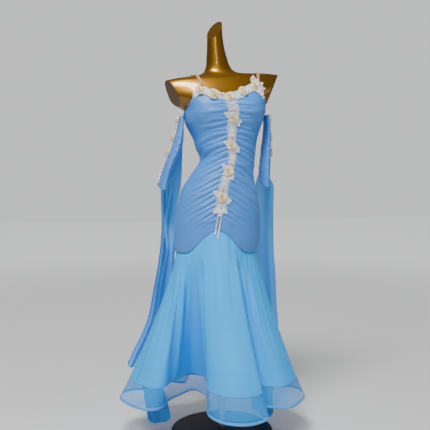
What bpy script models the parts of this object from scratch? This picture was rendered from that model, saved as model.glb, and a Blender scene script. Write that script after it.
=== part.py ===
"""A floor-length ballroom dress on a limbless display form with a round stand.

Metres, +Z up. The origin is the middle of the stand's underside, on the floor.
The form faces -Y, and +X is on the right of someone who looks at its front.
Angles round the body start at the front and grow towards +X.
"""
import bisect
from math import asin, atan2, cos, exp, pi, radians, sin

import bmesh
import bpy
from mathutils import Matrix, Vector
from mathutils.bvhtree import BVHTree

# Walls and clearances
CLOTH = 0.0015
SEAM_GAP = 0.0003
EASE = 0.0022
REST_GAP = 0.0008
FORM_INSET = 0.0036
FORM_CUP = 0.85
OUTSIDE = EASE + CLOTH + REST_GAP

# Stand
BASE_RADIUS = 0.195
BASE_HEIGHT = 0.014
BASE_RIM = 0.004
BASE_CROWN = 0.004
CROWN_RADIUS = 0.060
CROWN_STEP = 0.001
BASE_SIDES = 28
POLE_RADIUS = 0.014
POLE_SIDES = 16
SOCKET_RADIUS = 0.026
SOCKET_HEIGHT = 0.030

# Form: sides of each ring, longest step between rings, and the levels that need more of them
FORM_SIDES = 28
LONG_STEP = 0.03
FINE_LEVELS = (1.18, 1.31)

# Flat cut faces of the form: a point on each plane and the direction it faces
CUT_COLUMNS = ("name", "point", "facing")
CUT_ROWS = (
    ("left_arm_cut", (-0.183, 0.0, 1.273), (-0.90, -0.14, -0.42)),
    ("right_arm_cut", (0.195, 0.0, 1.311), (0.90, -0.24, -0.36)),
    ("neck_cut", (-0.029, 0.0, 1.5165), (-0.593, -0.518, 0.616)),
)
CUTTER_SIZE = 0.3

# Cups and middle of the bodice
CUP_ANGLE = radians(35)
CUP_SPREAD = radians(27)
CUP_HEIGHT = 1.222
CUP_TALL = 0.052
CUP_DEPTH = 0.021

# The dress stays this wide above the cups, and the form is a little slimmer under it
CHEST_HALF = 0.153
CHEST_TAPER = 0.22
INSET_END = 1.345
INSET_FADE = 0.035

# Side seams, as angles from the middle of the front
SIDE_LEFT = radians(88)
SIDE_RIGHT = radians(70)

# Hip seam: level at the sides and the back, with an arch at the front
SEAM_SIDE = 0.700
SEAM_RISE = 0.086
SEAM_ARCH = 0.125
SEAM_MIDDLE = radians(-8)
HIP_RADIUS = 0.165
SKIRT_SEAM_GAP = 0.0009
LEVEL_PASSES = 4

# Columns of a front panel, from the middle of the front to the side seam
PANEL_SHARES = (0.0, 0.08, 0.16, 0.25, 0.35, 0.46, 0.58, 0.70, 0.81, 0.91, 1.0)
PANEL_REACH = 0.998
PANEL_START = 0.0012
BACK_COLUMNS = 16

# Ruching: rows of folds down to a share of the panel's length, and plain rows below them
FOLD_ROWS = 36
FOLD_END = 0.84
FOLD_TALL = 0.0034
FOLD_START = 0.12
FOLD_FADE = 0.25
PLAIN_DOWNS = (0.90, 0.955, 1.0)
BACK_ROWS = (0, 1, 2, 3, 4, 6, 9, 12, 15, 18, 21, 24, 28, 32, 36)
BACK_PLAIN_DOWNS = (0.92, 1.0)

# How far the folds reach towards the side seam, down to each share of the ruching
REACH_COLUMNS = ("until", "reach")
REACH_ROWS = ((0.30, 0.42), (0.42, 0.62), (0.78, 1.05), (1.00, 0.78))

# Skirt: levels as shares of the way from the hip seam to the hem
HEM = 0.140
FLARE = 1.30
SKIRT_DOWNS = (0.0, 0.07, 0.17, 0.30, 0.44, 0.58, 0.72, 0.86, 0.98)
SKIRT_RIGHT_SEAM = 84
SKIRT_SIDE_STEPS = 5
SKIRT_BACK_STEPS = 30
SKIRT_SIDE_GAP = 0.25
BINDING = 0.010
BINDING_THICK = 0.0024
BINDING_INSET = 0.0004

# Underskirt: its levels, and how far it hangs inside the skirt at each of them
UNDER_COLUMNS = ("down", "depth")
UNDER_ROWS = ((0.16, 0.0005), (0.30, 0.0030), (0.58, 0.0042), (0.865, 0.0045))
UNDER_THICK = 0.0012
UNDER_SIDE_GAP = 0.5

# Shape of the form without its dress, a row for each level. The ring tilts with the shoulders.
FORM_COLUMNS = ("z", "middle", "half_width", "front", "back", "tilt", "round")
FORM_ROWS = (
    (0.648, -0.022, 0.085, 0.055, 0.062, 0.000, 2.0),
    (0.660, -0.022, 0.112, 0.073, 0.083, 0.000, 2.0),
    (0.680, -0.023, 0.136, 0.090, 0.102, 0.000, 2.1),
    (0.710, -0.022, 0.154, 0.105, 0.119, 0.000, 2.1),
    (0.769, -0.019, 0.1600, 0.111, 0.127, 0.000, 2.1),
    (0.811, -0.017, 0.1596, 0.111, 0.124, 0.000, 2.1),
    (0.867, -0.0145, 0.1530, 0.107, 0.114, 0.000, 2.1),
    (0.932, -0.0117, 0.1390, 0.100, 0.100, 0.000, 2.1),
    (0.989, 0.0010, 0.1155, 0.094, 0.089, 0.000, 2.0),
    (1.045, 0.0200, 0.1005, 0.090, 0.085, 0.000, 2.0),
    (1.090, 0.0144, 0.1110, 0.093, 0.088, 0.015, 2.0),
    (1.128, 0.0123, 0.1195, 0.095, 0.094, 0.030, 2.0),
    (1.184, 0.0080, 0.1425, 0.097, 0.100, 0.050, 2.1),
    (1.212, 0.0090, 0.1505, 0.099, 0.101, 0.060, 2.1),
    (1.238, 0.0085, 0.1570, 0.099, 0.102, 0.067, 2.1),
    (1.262, 0.0060, 0.1930, 0.096, 0.101, 0.075, 2.1),
    (1.287, 0.0040, 0.2320, 0.091, 0.099, 0.080, 2.1),
    (1.315, 0.0030, 0.2450, 0.080, 0.087, 0.083, 2.1),
    (1.342, 0.0030, 0.2380, 0.064, 0.070, 0.083, 2.1),
    (1.356, 0.0000, 0.2000, 0.053, 0.057, 0.083, 2.1),
    (1.363, -0.0030, 0.1150, 0.048, 0.050, 0.070, 2.0),
    (1.371, -0.0070, 0.0720, 0.044, 0.045, 0.040, 2.0),
    (1.389, -0.0143, 0.0490, 0.040, 0.040, 0.010, 2.0),
    (1.434, -0.0215, 0.0375, 0.036, 0.036, 0.000, 2.0),
    (1.478, -0.0260, 0.0315, 0.033, 0.033, 0.000, 2.0),
    (1.523, -0.0286, 0.0287, 0.031, 0.031, 0.000, 2.0),
    (1.580, -0.0290, 0.0285, 0.031, 0.031, 0.000, 2.0),
)

# The middle of the front wanders, in degrees from straight ahead.
FRONT_LINE_COLUMNS = ("z", "turn")
FRONT_LINE_ROWS = (
    (0.700, -9.0), (0.780, -8.0), (0.850, -5.5), (0.940, -3.0),
    (1.050, -1.5), (1.130, 0.5), (1.210, 3.0), (1.280, -2.0), (1.320, -2.5),
)

# Top edge of the bodice, by degrees from the middle of the front
NECKLINE_COLUMNS = ("angle", "z")
NECKLINE_ROWS = (
    (0, 1.275), (18, 1.288), (40, 1.308), (52, 1.298), (64, 1.270),
    (73, 1.248), (82, 1.234), (92, 1.227), (130, 1.216), (180, 1.210),
)

# Plan of the hem: for each ridge and valley, where it starts round the hips and where it ends.
HEM_COLUMNS = ("angle", "x", "y")
HEM_ROWS = (
    (-172, -0.010, 0.250), (-160, -0.075, 0.285), (-149, -0.120, 0.180),
    (-138, -0.215, 0.240), (-128, -0.205, 0.150), (-119, -0.285, 0.135),
    (-110, -0.360, 0.120), (-102, -0.386, 0.045), (-94, -0.352, -0.045),
    (-84, -0.300, -0.102), (-70, -0.245, -0.090), (-58, -0.205, -0.010),
    (-50, -0.150, 0.045), (-43, -0.095, 0.085), (-37, -0.062, 0.010),
    (-30, -0.080, -0.095), (-21, -0.092, -0.205), (-11, -0.060, -0.282),
    (-1, 0.000, -0.318), (7, 0.060, -0.308), (14, 0.104, -0.258),
    (21, 0.098, -0.155), (31, 0.142, -0.165), (45, 0.205, -0.188),
    (60, 0.268, -0.138), (76, 0.314, -0.058), (92, 0.300, 0.035),
    (105, 0.215, 0.060), (118, 0.160, 0.105), (131, 0.225, 0.200),
    (144, 0.180, 0.265), (156, 0.100, 0.190), (172, 0.060, 0.275),
)

# Detached sleeves: a flat tube, a row for each section from the armhole to the cuff
SLEEVE_SIDES = 12
SLEEVE_SECTIONS = 8
CUFF_START = 5
CUFF_SLANT = 0.020
SLEEVE_COLUMNS = ("along", "z", "x", "half_thick", "half_deep")
SLEEVE_LEFT_ROWS = (
    (0, 1.206, -0.1538, 0.0085, 0.030), (1, 1.158, -0.1600, 0.0130, 0.040),
    (2, 1.120, -0.1660, 0.0170, 0.046), (3, 1.083, -0.1760, 0.0200, 0.050),
    (4, 1.045, -0.1930, 0.0185, 0.053), (5, 1.000, -0.2120, 0.0165, 0.055),
    (6, 0.952, -0.2270, 0.0170, 0.056),
)
SLEEVE_RIGHT_ROWS = (
    (0, 1.216, 0.1705, 0.0085, 0.030), (1, 1.170, 0.1750, 0.0105, 0.036),
    (2, 1.130, 0.1740, 0.0120, 0.041), (3, 1.090, 0.1710, 0.0140, 0.045),
    (4, 1.050, 0.1690, 0.0155, 0.048), (5, 1.005, 0.1660, 0.0170, 0.050),
    (6, 0.962, 0.1660, 0.0155, 0.050),
)

# Chiffon floats: a row for each level, with the two edges and the bow between them
FLOAT_THICK = 0.0012
FLOAT_STRIPS = 6
FLOAT_COLUMNS = ("along", "z", "x_out", "x_in", "y", "bow")
FLOAT_LEFT_FRONT_ROWS = (
    (0, 1.158, -0.172, -0.143, 0.0417, 0.000), (1, 1.080, -0.184, -0.141, 0.0600, 0.004),
    (2, 0.960, -0.196, -0.148, 0.0490, 0.006), (3, 0.880, -0.203, -0.163, 0.0500, 0.010),
    (4, 0.800, -0.216, -0.172, 0.0600, 0.014), (5, 0.700, -0.206, -0.178, 0.0680, 0.012),
    (6, 0.600, -0.222, -0.180, 0.1100, 0.014), (7, 0.480, -0.236, -0.186, 0.1600, 0.016),
    (8, 0.340, -0.262, -0.208, 0.1900, 0.016), (9, 0.200, -0.292, -0.226, 0.1880, 0.014),
    (10, 0.100, -0.283, -0.196, 0.1500, 0.012), (11, 0.017, -0.276, -0.186, 0.0880, 0.010),
)
FLOAT_LEFT_REAR_ROWS = (
    (0, 0.990, -0.240, -0.204, 0.0569, 0.000), (1, 0.900, -0.226, -0.176, 0.0860, 0.010),
    (2, 0.780, -0.216, -0.160, 0.1200, 0.016), (3, 0.640, -0.224, -0.160, 0.1680, 0.016),
    (4, 0.520, -0.240, -0.170, 0.2140, 0.016), (5, 0.420, -0.256, -0.180, 0.2360, 0.016),
    (6, 0.340, -0.284, -0.204, 0.2400, 0.014), (7, 0.262, -0.325, -0.240, 0.2380, 0.012),
    (8, 0.200, -0.344, -0.302, 0.2360, 0.008),
)
FLOAT_RIGHT_ROWS = (
    (0, 0.998, 0.203, 0.146, 0.0504, 0.000), (1, 0.955, 0.219, 0.150, 0.0660, 0.006),
    (2, 0.880, 0.211, 0.150, 0.0840, 0.012), (3, 0.780, 0.216, 0.154, 0.1040, 0.016),
    (4, 0.680, 0.228, 0.160, 0.1340, 0.016), (5, 0.580, 0.246, 0.172, 0.1600, 0.016),
    (6, 0.460, 0.260, 0.184, 0.1780, 0.016), (7, 0.330, 0.272, 0.200, 0.1720, 0.014),
    (8, 0.200, 0.262, 0.200, 0.1400, 0.012), (9, 0.100, 0.232, 0.170, 0.0920, 0.010),
    (10, 0.020, 0.222, 0.166, 0.0500, 0.008),
)

# Straps: height and place where each starts, crosses the shoulder and ends at the back
STRAP_WIDTH = 0.009
STRAP_THICK = 0.0012
STRAP_LIFT = 0.0015
STRAP_REACH = 0.5
STRAP_BACK_PARTS = (0.2, 0.4, 0.6, 0.8, 1.0)
STRAP_BACK_PULL = 1.2
STRAP_TURNS = (0, 10, 20, 30, 40, 49, 57, 64, 71, 77, 83, 89, 95, 101, 107, 114, 122, 131,
               141, 153, 166, 180)
STRAP_COLUMNS = ("side", "z_start", "x_start", "x_top", "x_back", "z_back")
STRAP_ROWS = ((-1, 1.3095, -0.089, -0.122, -0.080, 1.226), (1, 1.3235, 0.120, 0.133, 0.090, 1.240))

# Lace and its flowers
LACE_THICK = 0.0012
LACE_BAR = 0.008
LACE_HOLE = 0.012
FRONT_LACE = (1.2485, 0.850)
FRONT_LACE_HALF = 0.018
FRONT_LACE_SHARES = (0.14, 0.60)
FRONT_SCALLOP = 0.84
CHEST_RADIUS = 0.150
SEAT_REACH = 0.05
SEAT_TURN = 0.6
NECK_LACE_REACH = 62
NECK_LACE_LENGTH = 0.353
NECK_LACE_BELOWS = (-0.004, 0.003, 0.015, 0.024)
NECK_SCALLOPS = (0.003, 0.0, 0.0, -0.004)
NECK_LACE_LIFT = 0.0013
SLEEVE_LACE_HALF = 0.013
SLEEVE_LACE_LENGTH = 0.25
SLEEVE_LACE_START = 0.15
SLEEVE_LACE_END = 5.75
SLEEVE_SCALLOP = 0.8
SLEEVE_LACE_SHARE = 0.34

# Flowers: radius, height in front of the rim and behind it, and where they sit
ROSETTE_RADIUS = 0.019
ROSETTE_TALL = 0.011
ROSETTE_BACK = 0.005
ROSETTE_SIDES = 8
ROSETTE_LOBES = 4
BUD_RADIUS = 0.0065
BUD_TALL = 0.0058
BUD_BACK = 0.0008
BUD_SIDES = 6
BUD_LOBES = 3
FLOWER_RINGS = 4
LOBE_DEPTH = 0.10
FRONT_ROSETTES = (1.190, 1.092, 1.000, 0.905)
FRONT_BUDS = (1.2185, 1.118, 1.0285, 0.9325)
FRONT_BUD_ACROSS = 0.001
NECK_ROSETTES = (-44, -19, 1, 22, 46)
NECK_ROSETTE_BELOW = 0.008
NECK_BUD = -9
NECK_BUD_BELOW = 0.006
SLEEVE_ROSETTES = (0.25, 1.85, 3.40)
SLEEVE_BUDS = (0.90, 2.70, 4.20)

# Two chains of stones that hang from the end of the front lace
DROP_TOP = 0.8492
DROP_SHORT = 0.775
DROP_LONG = 0.740
DROP_WIDTH = 0.004
DROP_THICK = 0.003
DROP_HEAD = 0.004
DROP_STEPS = 7
DROP_STARTS = (-0.007, 0.003)


def clear_scene():
    for leftover in list(bpy.data.objects):
        bpy.data.objects.remove(leftover, do_unlink=True)


def read_row(columns, rows, at):
    """A smooth row between the table's rows, at a value of its first column."""
    keys = [row[0] for row in rows]
    at = min(max(at, keys[0]), keys[-1])
    low = min(max(bisect.bisect_right(keys, at) - 1, 0), len(rows) - 2)
    span = keys[low + 1] - keys[low]
    part = (at - keys[low]) / span
    values = {columns[0]: at}
    for index in range(1, len(columns)):
        start, end = rows[low][index], rows[low + 1][index]
        slopes = []
        for here in (low, low + 1):
            before, after = max(here - 1, 0), min(here + 1, len(rows) - 1)
            slopes.append((rows[after][index] - rows[before][index]) / (keys[after] - keys[before]))
        squared, cubed = part ** 2, part ** 3
        values[columns[index]] = ((2 * cubed - 3 * squared + 1) * start
                                  + (cubed - 2 * squared + part) * span * slopes[0]
                                  + (3 * squared - 2 * cubed) * end
                                  + (cubed - squared) * span * slopes[1])
    return values


def front_line(z):
    return radians(read_row(FRONT_LINE_COLUMNS, FRONT_LINE_ROWS, z)["turn"])


def neckline(angle):
    return read_row(NECKLINE_COLUMNS, NECKLINE_ROWS, abs(angle) * 180 / pi)["z"]


def signed_power(value, power):
    return abs(value) ** power * (1 if value >= 0 else -1)


def cups(turn, z):
    """How far the two cups stand out, at an angle from the middle of the front."""
    level = exp(-((z - CUP_HEIGHT) / CUP_TALL) ** 2)
    left = exp(-((turn + CUP_ANGLE) / CUP_SPREAD) ** 2)
    right = exp(-((turn - CUP_ANGLE) / CUP_SPREAD) ** 2)
    return CUP_DEPTH * level * (left + right)


def body(angle, z, lift=0.0, bare=False):
    """A point on the form, or at a distance outside it where the dress lies.

    The dress keeps the width of the chest where the bare form widens into its shoulders.
    """
    row = read_row(FORM_COLUMNS, FORM_ROWS, z)
    wide = row["half_width"]
    chest = wide
    if z > CUP_HEIGHT:
        chest = min(wide, CHEST_HALF - CHEST_TAPER * (z - CUP_HEIGHT))
    if bare:
        lift = -FORM_INSET * min(max((INSET_END - z) / INSET_FADE, 0), 1)
    else:
        wide = chest
    power = 2 / row["round"]
    across = (wide + lift) * signed_power(sin(angle), power)
    fullness = max(1 - (abs(across) / (row["half_width"] + lift)) ** row["round"], 0) ** (1 / row["round"])
    depth = row["front"] if cos(angle) >= 0 else row["back"]
    x = row["middle"] + across
    y = -(depth + lift) * fullness * (1 if cos(angle) >= 0 else -1)
    if cos(angle) > 0:
        facing = asin(min(max(across / chest, -1), 1))
        swell = cups(facing - front_line(z), z) * (FORM_CUP if bare else 1)
        x += swell * sin(facing)
        y -= swell * cos(facing)
    return Vector((x, y, z + row["tilt"] * across))


def seam_curve(angle):
    """Height of the hip seam, with its arch round the middle of the front."""
    if cos(angle) <= 0:
        return SEAM_SIDE
    reach = min(abs(HIP_RADIUS * sin(angle - SEAM_MIDDLE)) / SEAM_ARCH, 1)
    return SEAM_SIDE + SEAM_RISE * 0.5 * (1 + cos(pi * reach))


def panel_turn(sign, side, share):
    """The angle from the middle of the front at one column of a front panel."""
    return sign * (side * share * PANEL_REACH + PANEL_START)


def seam_knots():
    """Where the columns of the two front panels meet the seam: the skirt follows them."""
    knots = []
    for sign, side in ((-1, SIDE_LEFT), (1, SIDE_RIGHT)):
        for share in PANEL_SHARES:
            turn = panel_turn(sign, side, share)
            angle = turn + front_line(SEAM_SIDE)
            for _ in range(LEVEL_PASSES):
                angle = turn + front_line(seam_curve(angle))
            knots.append((angle, seam_curve(angle)))
    return sorted(knots)


SEAM_KNOTS = seam_knots()


def seam_height(angle):
    """The seam's height between the knots, so that both sides of the seam match."""
    angle = (angle + pi) % (2 * pi) - pi
    if not SEAM_KNOTS[0][0] < angle < SEAM_KNOTS[-1][0]:
        return SEAM_SIDE
    place = bisect.bisect_right([knot[0] for knot in SEAM_KNOTS], angle) - 1
    start, end = SEAM_KNOTS[place], SEAM_KNOTS[place + 1]
    part = (angle - start[0]) / (end[0] - start[0])
    return start[1] + (end[1] - start[1]) * part


def wrap_hem():
    """The hem's table, with a turn added at both ends so that it closes."""
    first = [(angle + 360, x, y) for angle, x, y in HEM_ROWS[:3]]
    last = [(angle - 360, x, y) for angle, x, y in HEM_ROWS[-3:]]
    return tuple(last) + HEM_ROWS + tuple(first)


HEM_LOOP = wrap_hem()


def skirt_point(degrees, down):
    """A point on the skirt's inner face: down is 0 at the hip seam and 1 at the hem."""
    angle = radians(degrees)
    top = body(angle, seam_height(angle) - SKIRT_SEAM_GAP, EASE)
    hem = read_row(HEM_COLUMNS, HEM_LOOP, (degrees + 180) % 360 - 180)
    part = down ** FLARE
    x = top.x + (hem["x"] - top.x) * part
    y = top.y + (hem["y"] - top.y) * part
    return Vector((x, y, top.z + (HEM - top.z) * down))


def material(name, colour, roughness, metallic=0.0):
    made = bpy.data.materials.new(name)
    made.use_nodes = True
    shader = made.node_tree.nodes["Principled BSDF"]
    shader.inputs["Base Color"].default_value = (*colour, 1)
    shader.inputs["Roughness"].default_value = roughness
    shader.inputs["Metallic"].default_value = metallic
    return made


def add_mesh(name, points, faces, surface, collection, edges=()):
    mesh = bpy.data.meshes.new(name)
    mesh.from_pydata(points, edges, faces)
    mesh.materials.append(surface)
    made = bpy.data.objects.new(name, mesh)
    collection.objects.link(made)
    return made


def grid_faces(rows, columns, closed, holes):
    """Faces between the rows and columns of a grid, without the cells that are holes."""
    faces = []
    for row in range(rows - 1):
        for column in range(columns if closed else columns - 1):
            if holes and holes(row, column):
                continue
            after = (column + 1) % columns
            faces.append((row * columns + column, (row + 1) * columns + column,
                          (row + 1) * columns + after, row * columns + after))
    return faces


def sheet(name, grid, surface, collection, thick=CLOTH, closed=False, holes=None, grow=1):
    """Cloth as an open surface with Solidify, growing out (1) or in (-1) from the grid."""
    points = [point for row in grid for point in row]
    faces = grid_faces(len(grid), len(grid[0]), closed, holes)
    made = add_mesh(name, points, faces, surface, collection)
    wall = made.modifiers.new("Cloth", "SOLIDIFY")
    wall.thickness = thick
    wall.offset = grow
    return made


def wall(name, inner, outer, surface, collection):
    """Cloth with unlike faces: a plain inside and an outside that carries the folds."""
    rows, columns = len(inner), len(inner[0])
    count = rows * columns
    points = [point for row in outer for point in row] + [point for row in inner for point in row]
    faces = grid_faces(rows, columns, False, None)
    faces += [tuple(count + index for index in reversed(face)) for face in faces]
    rim = list(range(columns))
    rim += [row * columns + columns - 1 for row in range(1, rows)]
    rim += [(rows - 1) * columns + column for column in range(columns - 2, -1, -1)]
    rim += [row * columns for row in range(rows - 2, 0, -1)]
    for index, here in enumerate(rim):
        after = rim[(index + 1) % len(rim)]
        faces.append((here, after, count + after, count + here))
    return add_mesh(name, points, faces, surface, collection)


def spread(start, end, count):
    return [start + (end - start) * index / (count - 1) for index in range(count)]


def build_stand(collection, black, steel):
    """A black disc with a rounded rim, a pole, and the socket under the form."""
    crown = BASE_HEIGHT + BASE_CROWN
    profile = [(0.0, crown), (CROWN_RADIUS, crown - CROWN_STEP), (BASE_RADIUS - BASE_RIM, BASE_HEIGHT),
               (BASE_RADIUS, BASE_HEIGHT - BASE_RIM), (BASE_RADIUS, 0.0), (0.0, 0.0)]
    edges = [(index, index + 1) for index in range(len(profile) - 1)]
    base = add_mesh("stand_base", [(x, 0, z) for x, z in profile], [], black, collection, edges)
    turn = base.modifiers.new("Turned", "SCREW")
    turn.steps = BASE_SIDES
    turn.render_steps = BASE_SIDES
    turn.use_merge_vertices = True
    turn.merge_threshold = 0.0001
    form_foot = FORM_ROWS[0][0]
    socket_foot = form_foot - SEAM_GAP - SOCKET_HEIGHT
    add_cylinder("stand_pole", POLE_RADIUS, crown + SEAM_GAP, socket_foot - SEAM_GAP, steel, collection)
    add_cylinder("stand_socket", SOCKET_RADIUS, socket_foot, form_foot - SEAM_GAP, black, collection)


def add_cylinder(name, radius, low, high, surface, collection):
    shape = bmesh.new()
    bmesh.ops.create_cone(shape, cap_ends=True, segments=POLE_SIDES, radius1=radius, radius2=radius,
                          depth=high - low)
    mesh = bpy.data.meshes.new(name)
    shape.to_mesh(mesh)
    shape.free()
    mesh.materials.append(surface)
    made = bpy.data.objects.new(name, mesh)
    made.location = (0, 0, (low + high) / 2)
    collection.objects.link(made)


def cutting_slab(name, point, normal, cutters):
    """A big box whose face lies on a plane, on the side that the normal points to."""
    shape = bmesh.new()
    bmesh.ops.create_cube(shape, size=CUTTER_SIZE)
    mesh = bpy.data.meshes.new(name)
    shape.to_mesh(mesh)
    shape.free()
    made = bpy.data.objects.new(name, mesh)
    made.matrix_world = (Matrix.Translation(point + normal * CUTTER_SIZE / 2)
                         @ normal.to_track_quat("Z", "Y").to_matrix().to_4x4())
    made.hide_render = True
    made.display_type = "WIRE"
    cutters.objects.link(made)
    return made


def build_form(collection, cutters, gold):
    """The limbless form: a loft through its rings, cut flat at the arms and the neck."""
    levels = [row[0] for row in FORM_ROWS]
    heights = []
    for low, high in zip(levels, levels[1:]):
        fine = high - low > LONG_STEP or FINE_LEVELS[0] < low < FINE_LEVELS[1]
        steps = 2 if fine else 1
        heights += [low + (high - low) * step / steps for step in range(steps)]
    heights.append(levels[-1])
    grid = []
    for z in heights:
        grid.append([body(2 * pi * index / FORM_SIDES, z, bare=True) for index in range(FORM_SIDES)])
    points = [point for row in grid for point in row]
    count = len(heights)
    faces = [tuple(reversed(face)) for face in grid_faces(count, FORM_SIDES, True, None)]
    faces.append(tuple(reversed(range(FORM_SIDES))))
    faces.append(tuple((count - 1) * FORM_SIDES + index for index in range(FORM_SIDES)))
    form = add_mesh("dress_form", points, faces, gold, collection)
    for row in CUT_ROWS:
        plane = dict(zip(CUT_COLUMNS, row))
        cut = form.modifiers.new(plane["name"], "BOOLEAN")
        cut.operation = "DIFFERENCE"
        cut.solver = "EXACT"
        cut.object = cutting_slab(plane["name"], Vector(plane["point"]),
                                  Vector(plane["facing"]).normalized(), cutters)
    return form


def fold_height(k, share):
    """How far the ruching stands up on fold row k, by the share of the way to the side seam."""
    down = k / FOLD_ROWS
    rise = min(max((share - FOLD_START) / FOLD_START, 0), 1)
    reach = next(reach for until, reach in REACH_ROWS if down <= until)
    fade = min(max((reach - share) / FOLD_FADE, 0), 1)
    uneven = 0.72 + 0.28 * sin(k * 2.4)
    return FOLD_TALL * (k % 2) * rise * fade * uneven


def panel_level(turn, down):
    """The angle and height at a share of the way from the neckline down to the hip seam."""
    top = neckline(turn if turn < pi else turn - 2 * pi)
    z = top
    for _ in range(LEVEL_PASSES):
        z = top + (seam_height(turn + front_line(z)) - top) * down
    return turn + front_line(z), z


def bodice_front(name, sign, side, collection, surface):
    """One ruched front panel, from the middle of the front to its side seam."""
    downs = [(k, FOLD_END * k / FOLD_ROWS) for k in range(FOLD_ROWS + 1)]
    downs += [(0, down) for down in PLAIN_DOWNS]
    inner, outer = [], []
    for k, down in downs:
        inner_row, outer_row = [], []
        for share in PANEL_SHARES:
            angle, z = panel_level(panel_turn(sign, side, share), down)
            inner_row.append(body(angle, z, EASE))
            outer_row.append(body(angle, z, EASE + CLOTH + fold_height(k, share)))
        if sign < 0:
            inner_row.reverse()
            outer_row.reverse()
        inner.append(inner_row)
        outer.append(outer_row)
    return wall(name, inner, outer, surface, collection)


def bodice_back(collection, surface):
    """The plain back panel, between the two side seams."""
    grid = []
    for down in [FOLD_END * k / FOLD_ROWS for k in BACK_ROWS] + list(BACK_PLAIN_DOWNS):
        row = []
        for share in spread(1 - PANEL_REACH, PANEL_REACH, BACK_COLUMNS):
            turn = SIDE_RIGHT + (2 * pi - SIDE_LEFT - SIDE_RIGHT) * share
            angle, z = panel_level(turn, down)
            row.append(body(angle, z, EASE))
        grid.append(row)
    return sheet("bodice_back", grid, surface, collection)


def grid_normals(grid, closed):
    """Outward directions of a grid of points, from its neighbours."""
    normals = []
    rows, columns = len(grid), len(grid[0])
    for r in range(rows):
        line = []
        for c in range(columns):
            left = grid[r][(c - 1) % columns if closed else max(c - 1, 0)]
            right = grid[r][(c + 1) % columns if closed else min(c + 1, columns - 1)]
            above = grid[max(r - 1, 0)][c]
            below = grid[min(r + 1, rows - 1)][c]
            line.append((below - above).cross(right - left).normalized())
        normals.append(line)
    return normals


def panel_angles():
    """Columns of the skirt's two panels: the front's meet those of the bodice above them."""
    knots = [angle * 180 / pi for angle, _ in SEAM_KNOTS]
    knots = [angle for index, angle in enumerate(knots) if index == 0 or angle - knots[index - 1] > 1]
    front = []
    for start, end in zip(knots, knots[1:]):
        front += [start, (start + end) / 2]
    front += spread(knots[-1], SKIRT_RIGHT_SEAM, SKIRT_SIDE_STEPS)
    back = spread(SKIRT_RIGHT_SEAM + SKIRT_SIDE_GAP, knots[0] + 360 - SKIRT_SIDE_GAP, SKIRT_BACK_STEPS)
    return front, back


def skirt_panel(angles, downs):
    return [[skirt_point(degrees, down) for degrees in angles] for down in downs]


def build_skirt(collection, sheer, lining, binding):
    """Outer panels, the underskirt that shows through them, and the bound hem."""
    front, back = panel_angles()
    for name, angles in (("front", front), ("back", back)):
        sheet("skirt_" + name, skirt_panel(angles, SKIRT_DOWNS), sheer, collection)
        inside = [angles[0] + UNDER_SIDE_GAP] + angles[1:-1] + [angles[-1] - UNDER_SIDE_GAP]
        under = skirt_panel(inside, [down for down, _ in UNDER_ROWS])
        normals = grid_normals(under, False)
        for row, (_, depth) in enumerate(UNDER_ROWS):
            under[row] = [point - normal * depth for point, normal in zip(under[row], normals[row])]
        sheet("underskirt_" + name, under, lining, collection, thick=UNDER_THICK, grow=-1)
    low = skirt_panel(front + back, (SKIRT_DOWNS[-1], 1.0))
    rows = []
    for shift in (SKIRT_SEAM_GAP, SKIRT_SEAM_GAP + BINDING):
        rows.append([point + (low[1][index] - point).normalized() * shift
                     for index, point in enumerate(low[0])])
    normals = grid_normals(rows, True)
    rows = [[point - normal * BINDING_INSET for point, normal in zip(*pair)]
            for pair in zip(rows, normals)]
    sheet("hem_binding", rows, binding, collection, thick=BINDING_THICK, closed=True)


def sleeve_point(rows, along, angle, lift=0.0):
    row = read_row(SLEEVE_COLUMNS, rows, along)
    x = row["x"] + (row["half_thick"] + lift) * sin(angle)
    y = -(row["half_deep"] + lift) * cos(angle)
    slant = CUFF_SLANT * max(along - CUFF_START, 0) * cos(angle)
    return Vector((x, y, row["z"] - slant))


def build_sleeve(name, rows, collection, surface):
    """A flattened tube, open at the armhole and at the cuff."""
    grid = [[sleeve_point(rows, along, 2 * pi * index / SLEEVE_SIDES) for index in range(SLEEVE_SIDES)]
            for along in spread(rows[0][0], rows[-1][0], SLEEVE_SECTIONS)]
    return sheet(name, grid, surface, collection, closed=True, grow=-1)


def build_float(name, rows, collection, surface):
    """A long strip of chiffon that hangs from the cuff, bowed across its width."""
    grid = []
    for along in spread(rows[0][0], rows[-1][0], len(rows) + 3):
        row = read_row(FLOAT_COLUMNS, rows, along)
        line = []
        for share in spread(0, 1, FLOAT_STRIPS):
            x = row["x_out"] + (row["x_in"] - row["x_out"]) * share
            y = row["y"] + row["bow"] * sin(pi * share)
            line.append(Vector((x, y, row["z"])))
        grid.append(line)
    return sheet(name, grid, surface, collection, thick=FLOAT_THICK)


def strap_hit(form_tree, x, origin_z, toward):
    """The form's surface at x, met from outside on a line through its middle."""
    start = Vector((x, 0, origin_z)) + toward * STRAP_REACH
    found = form_tree.ray_cast(start, -toward)
    return found[0], found[1]


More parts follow.
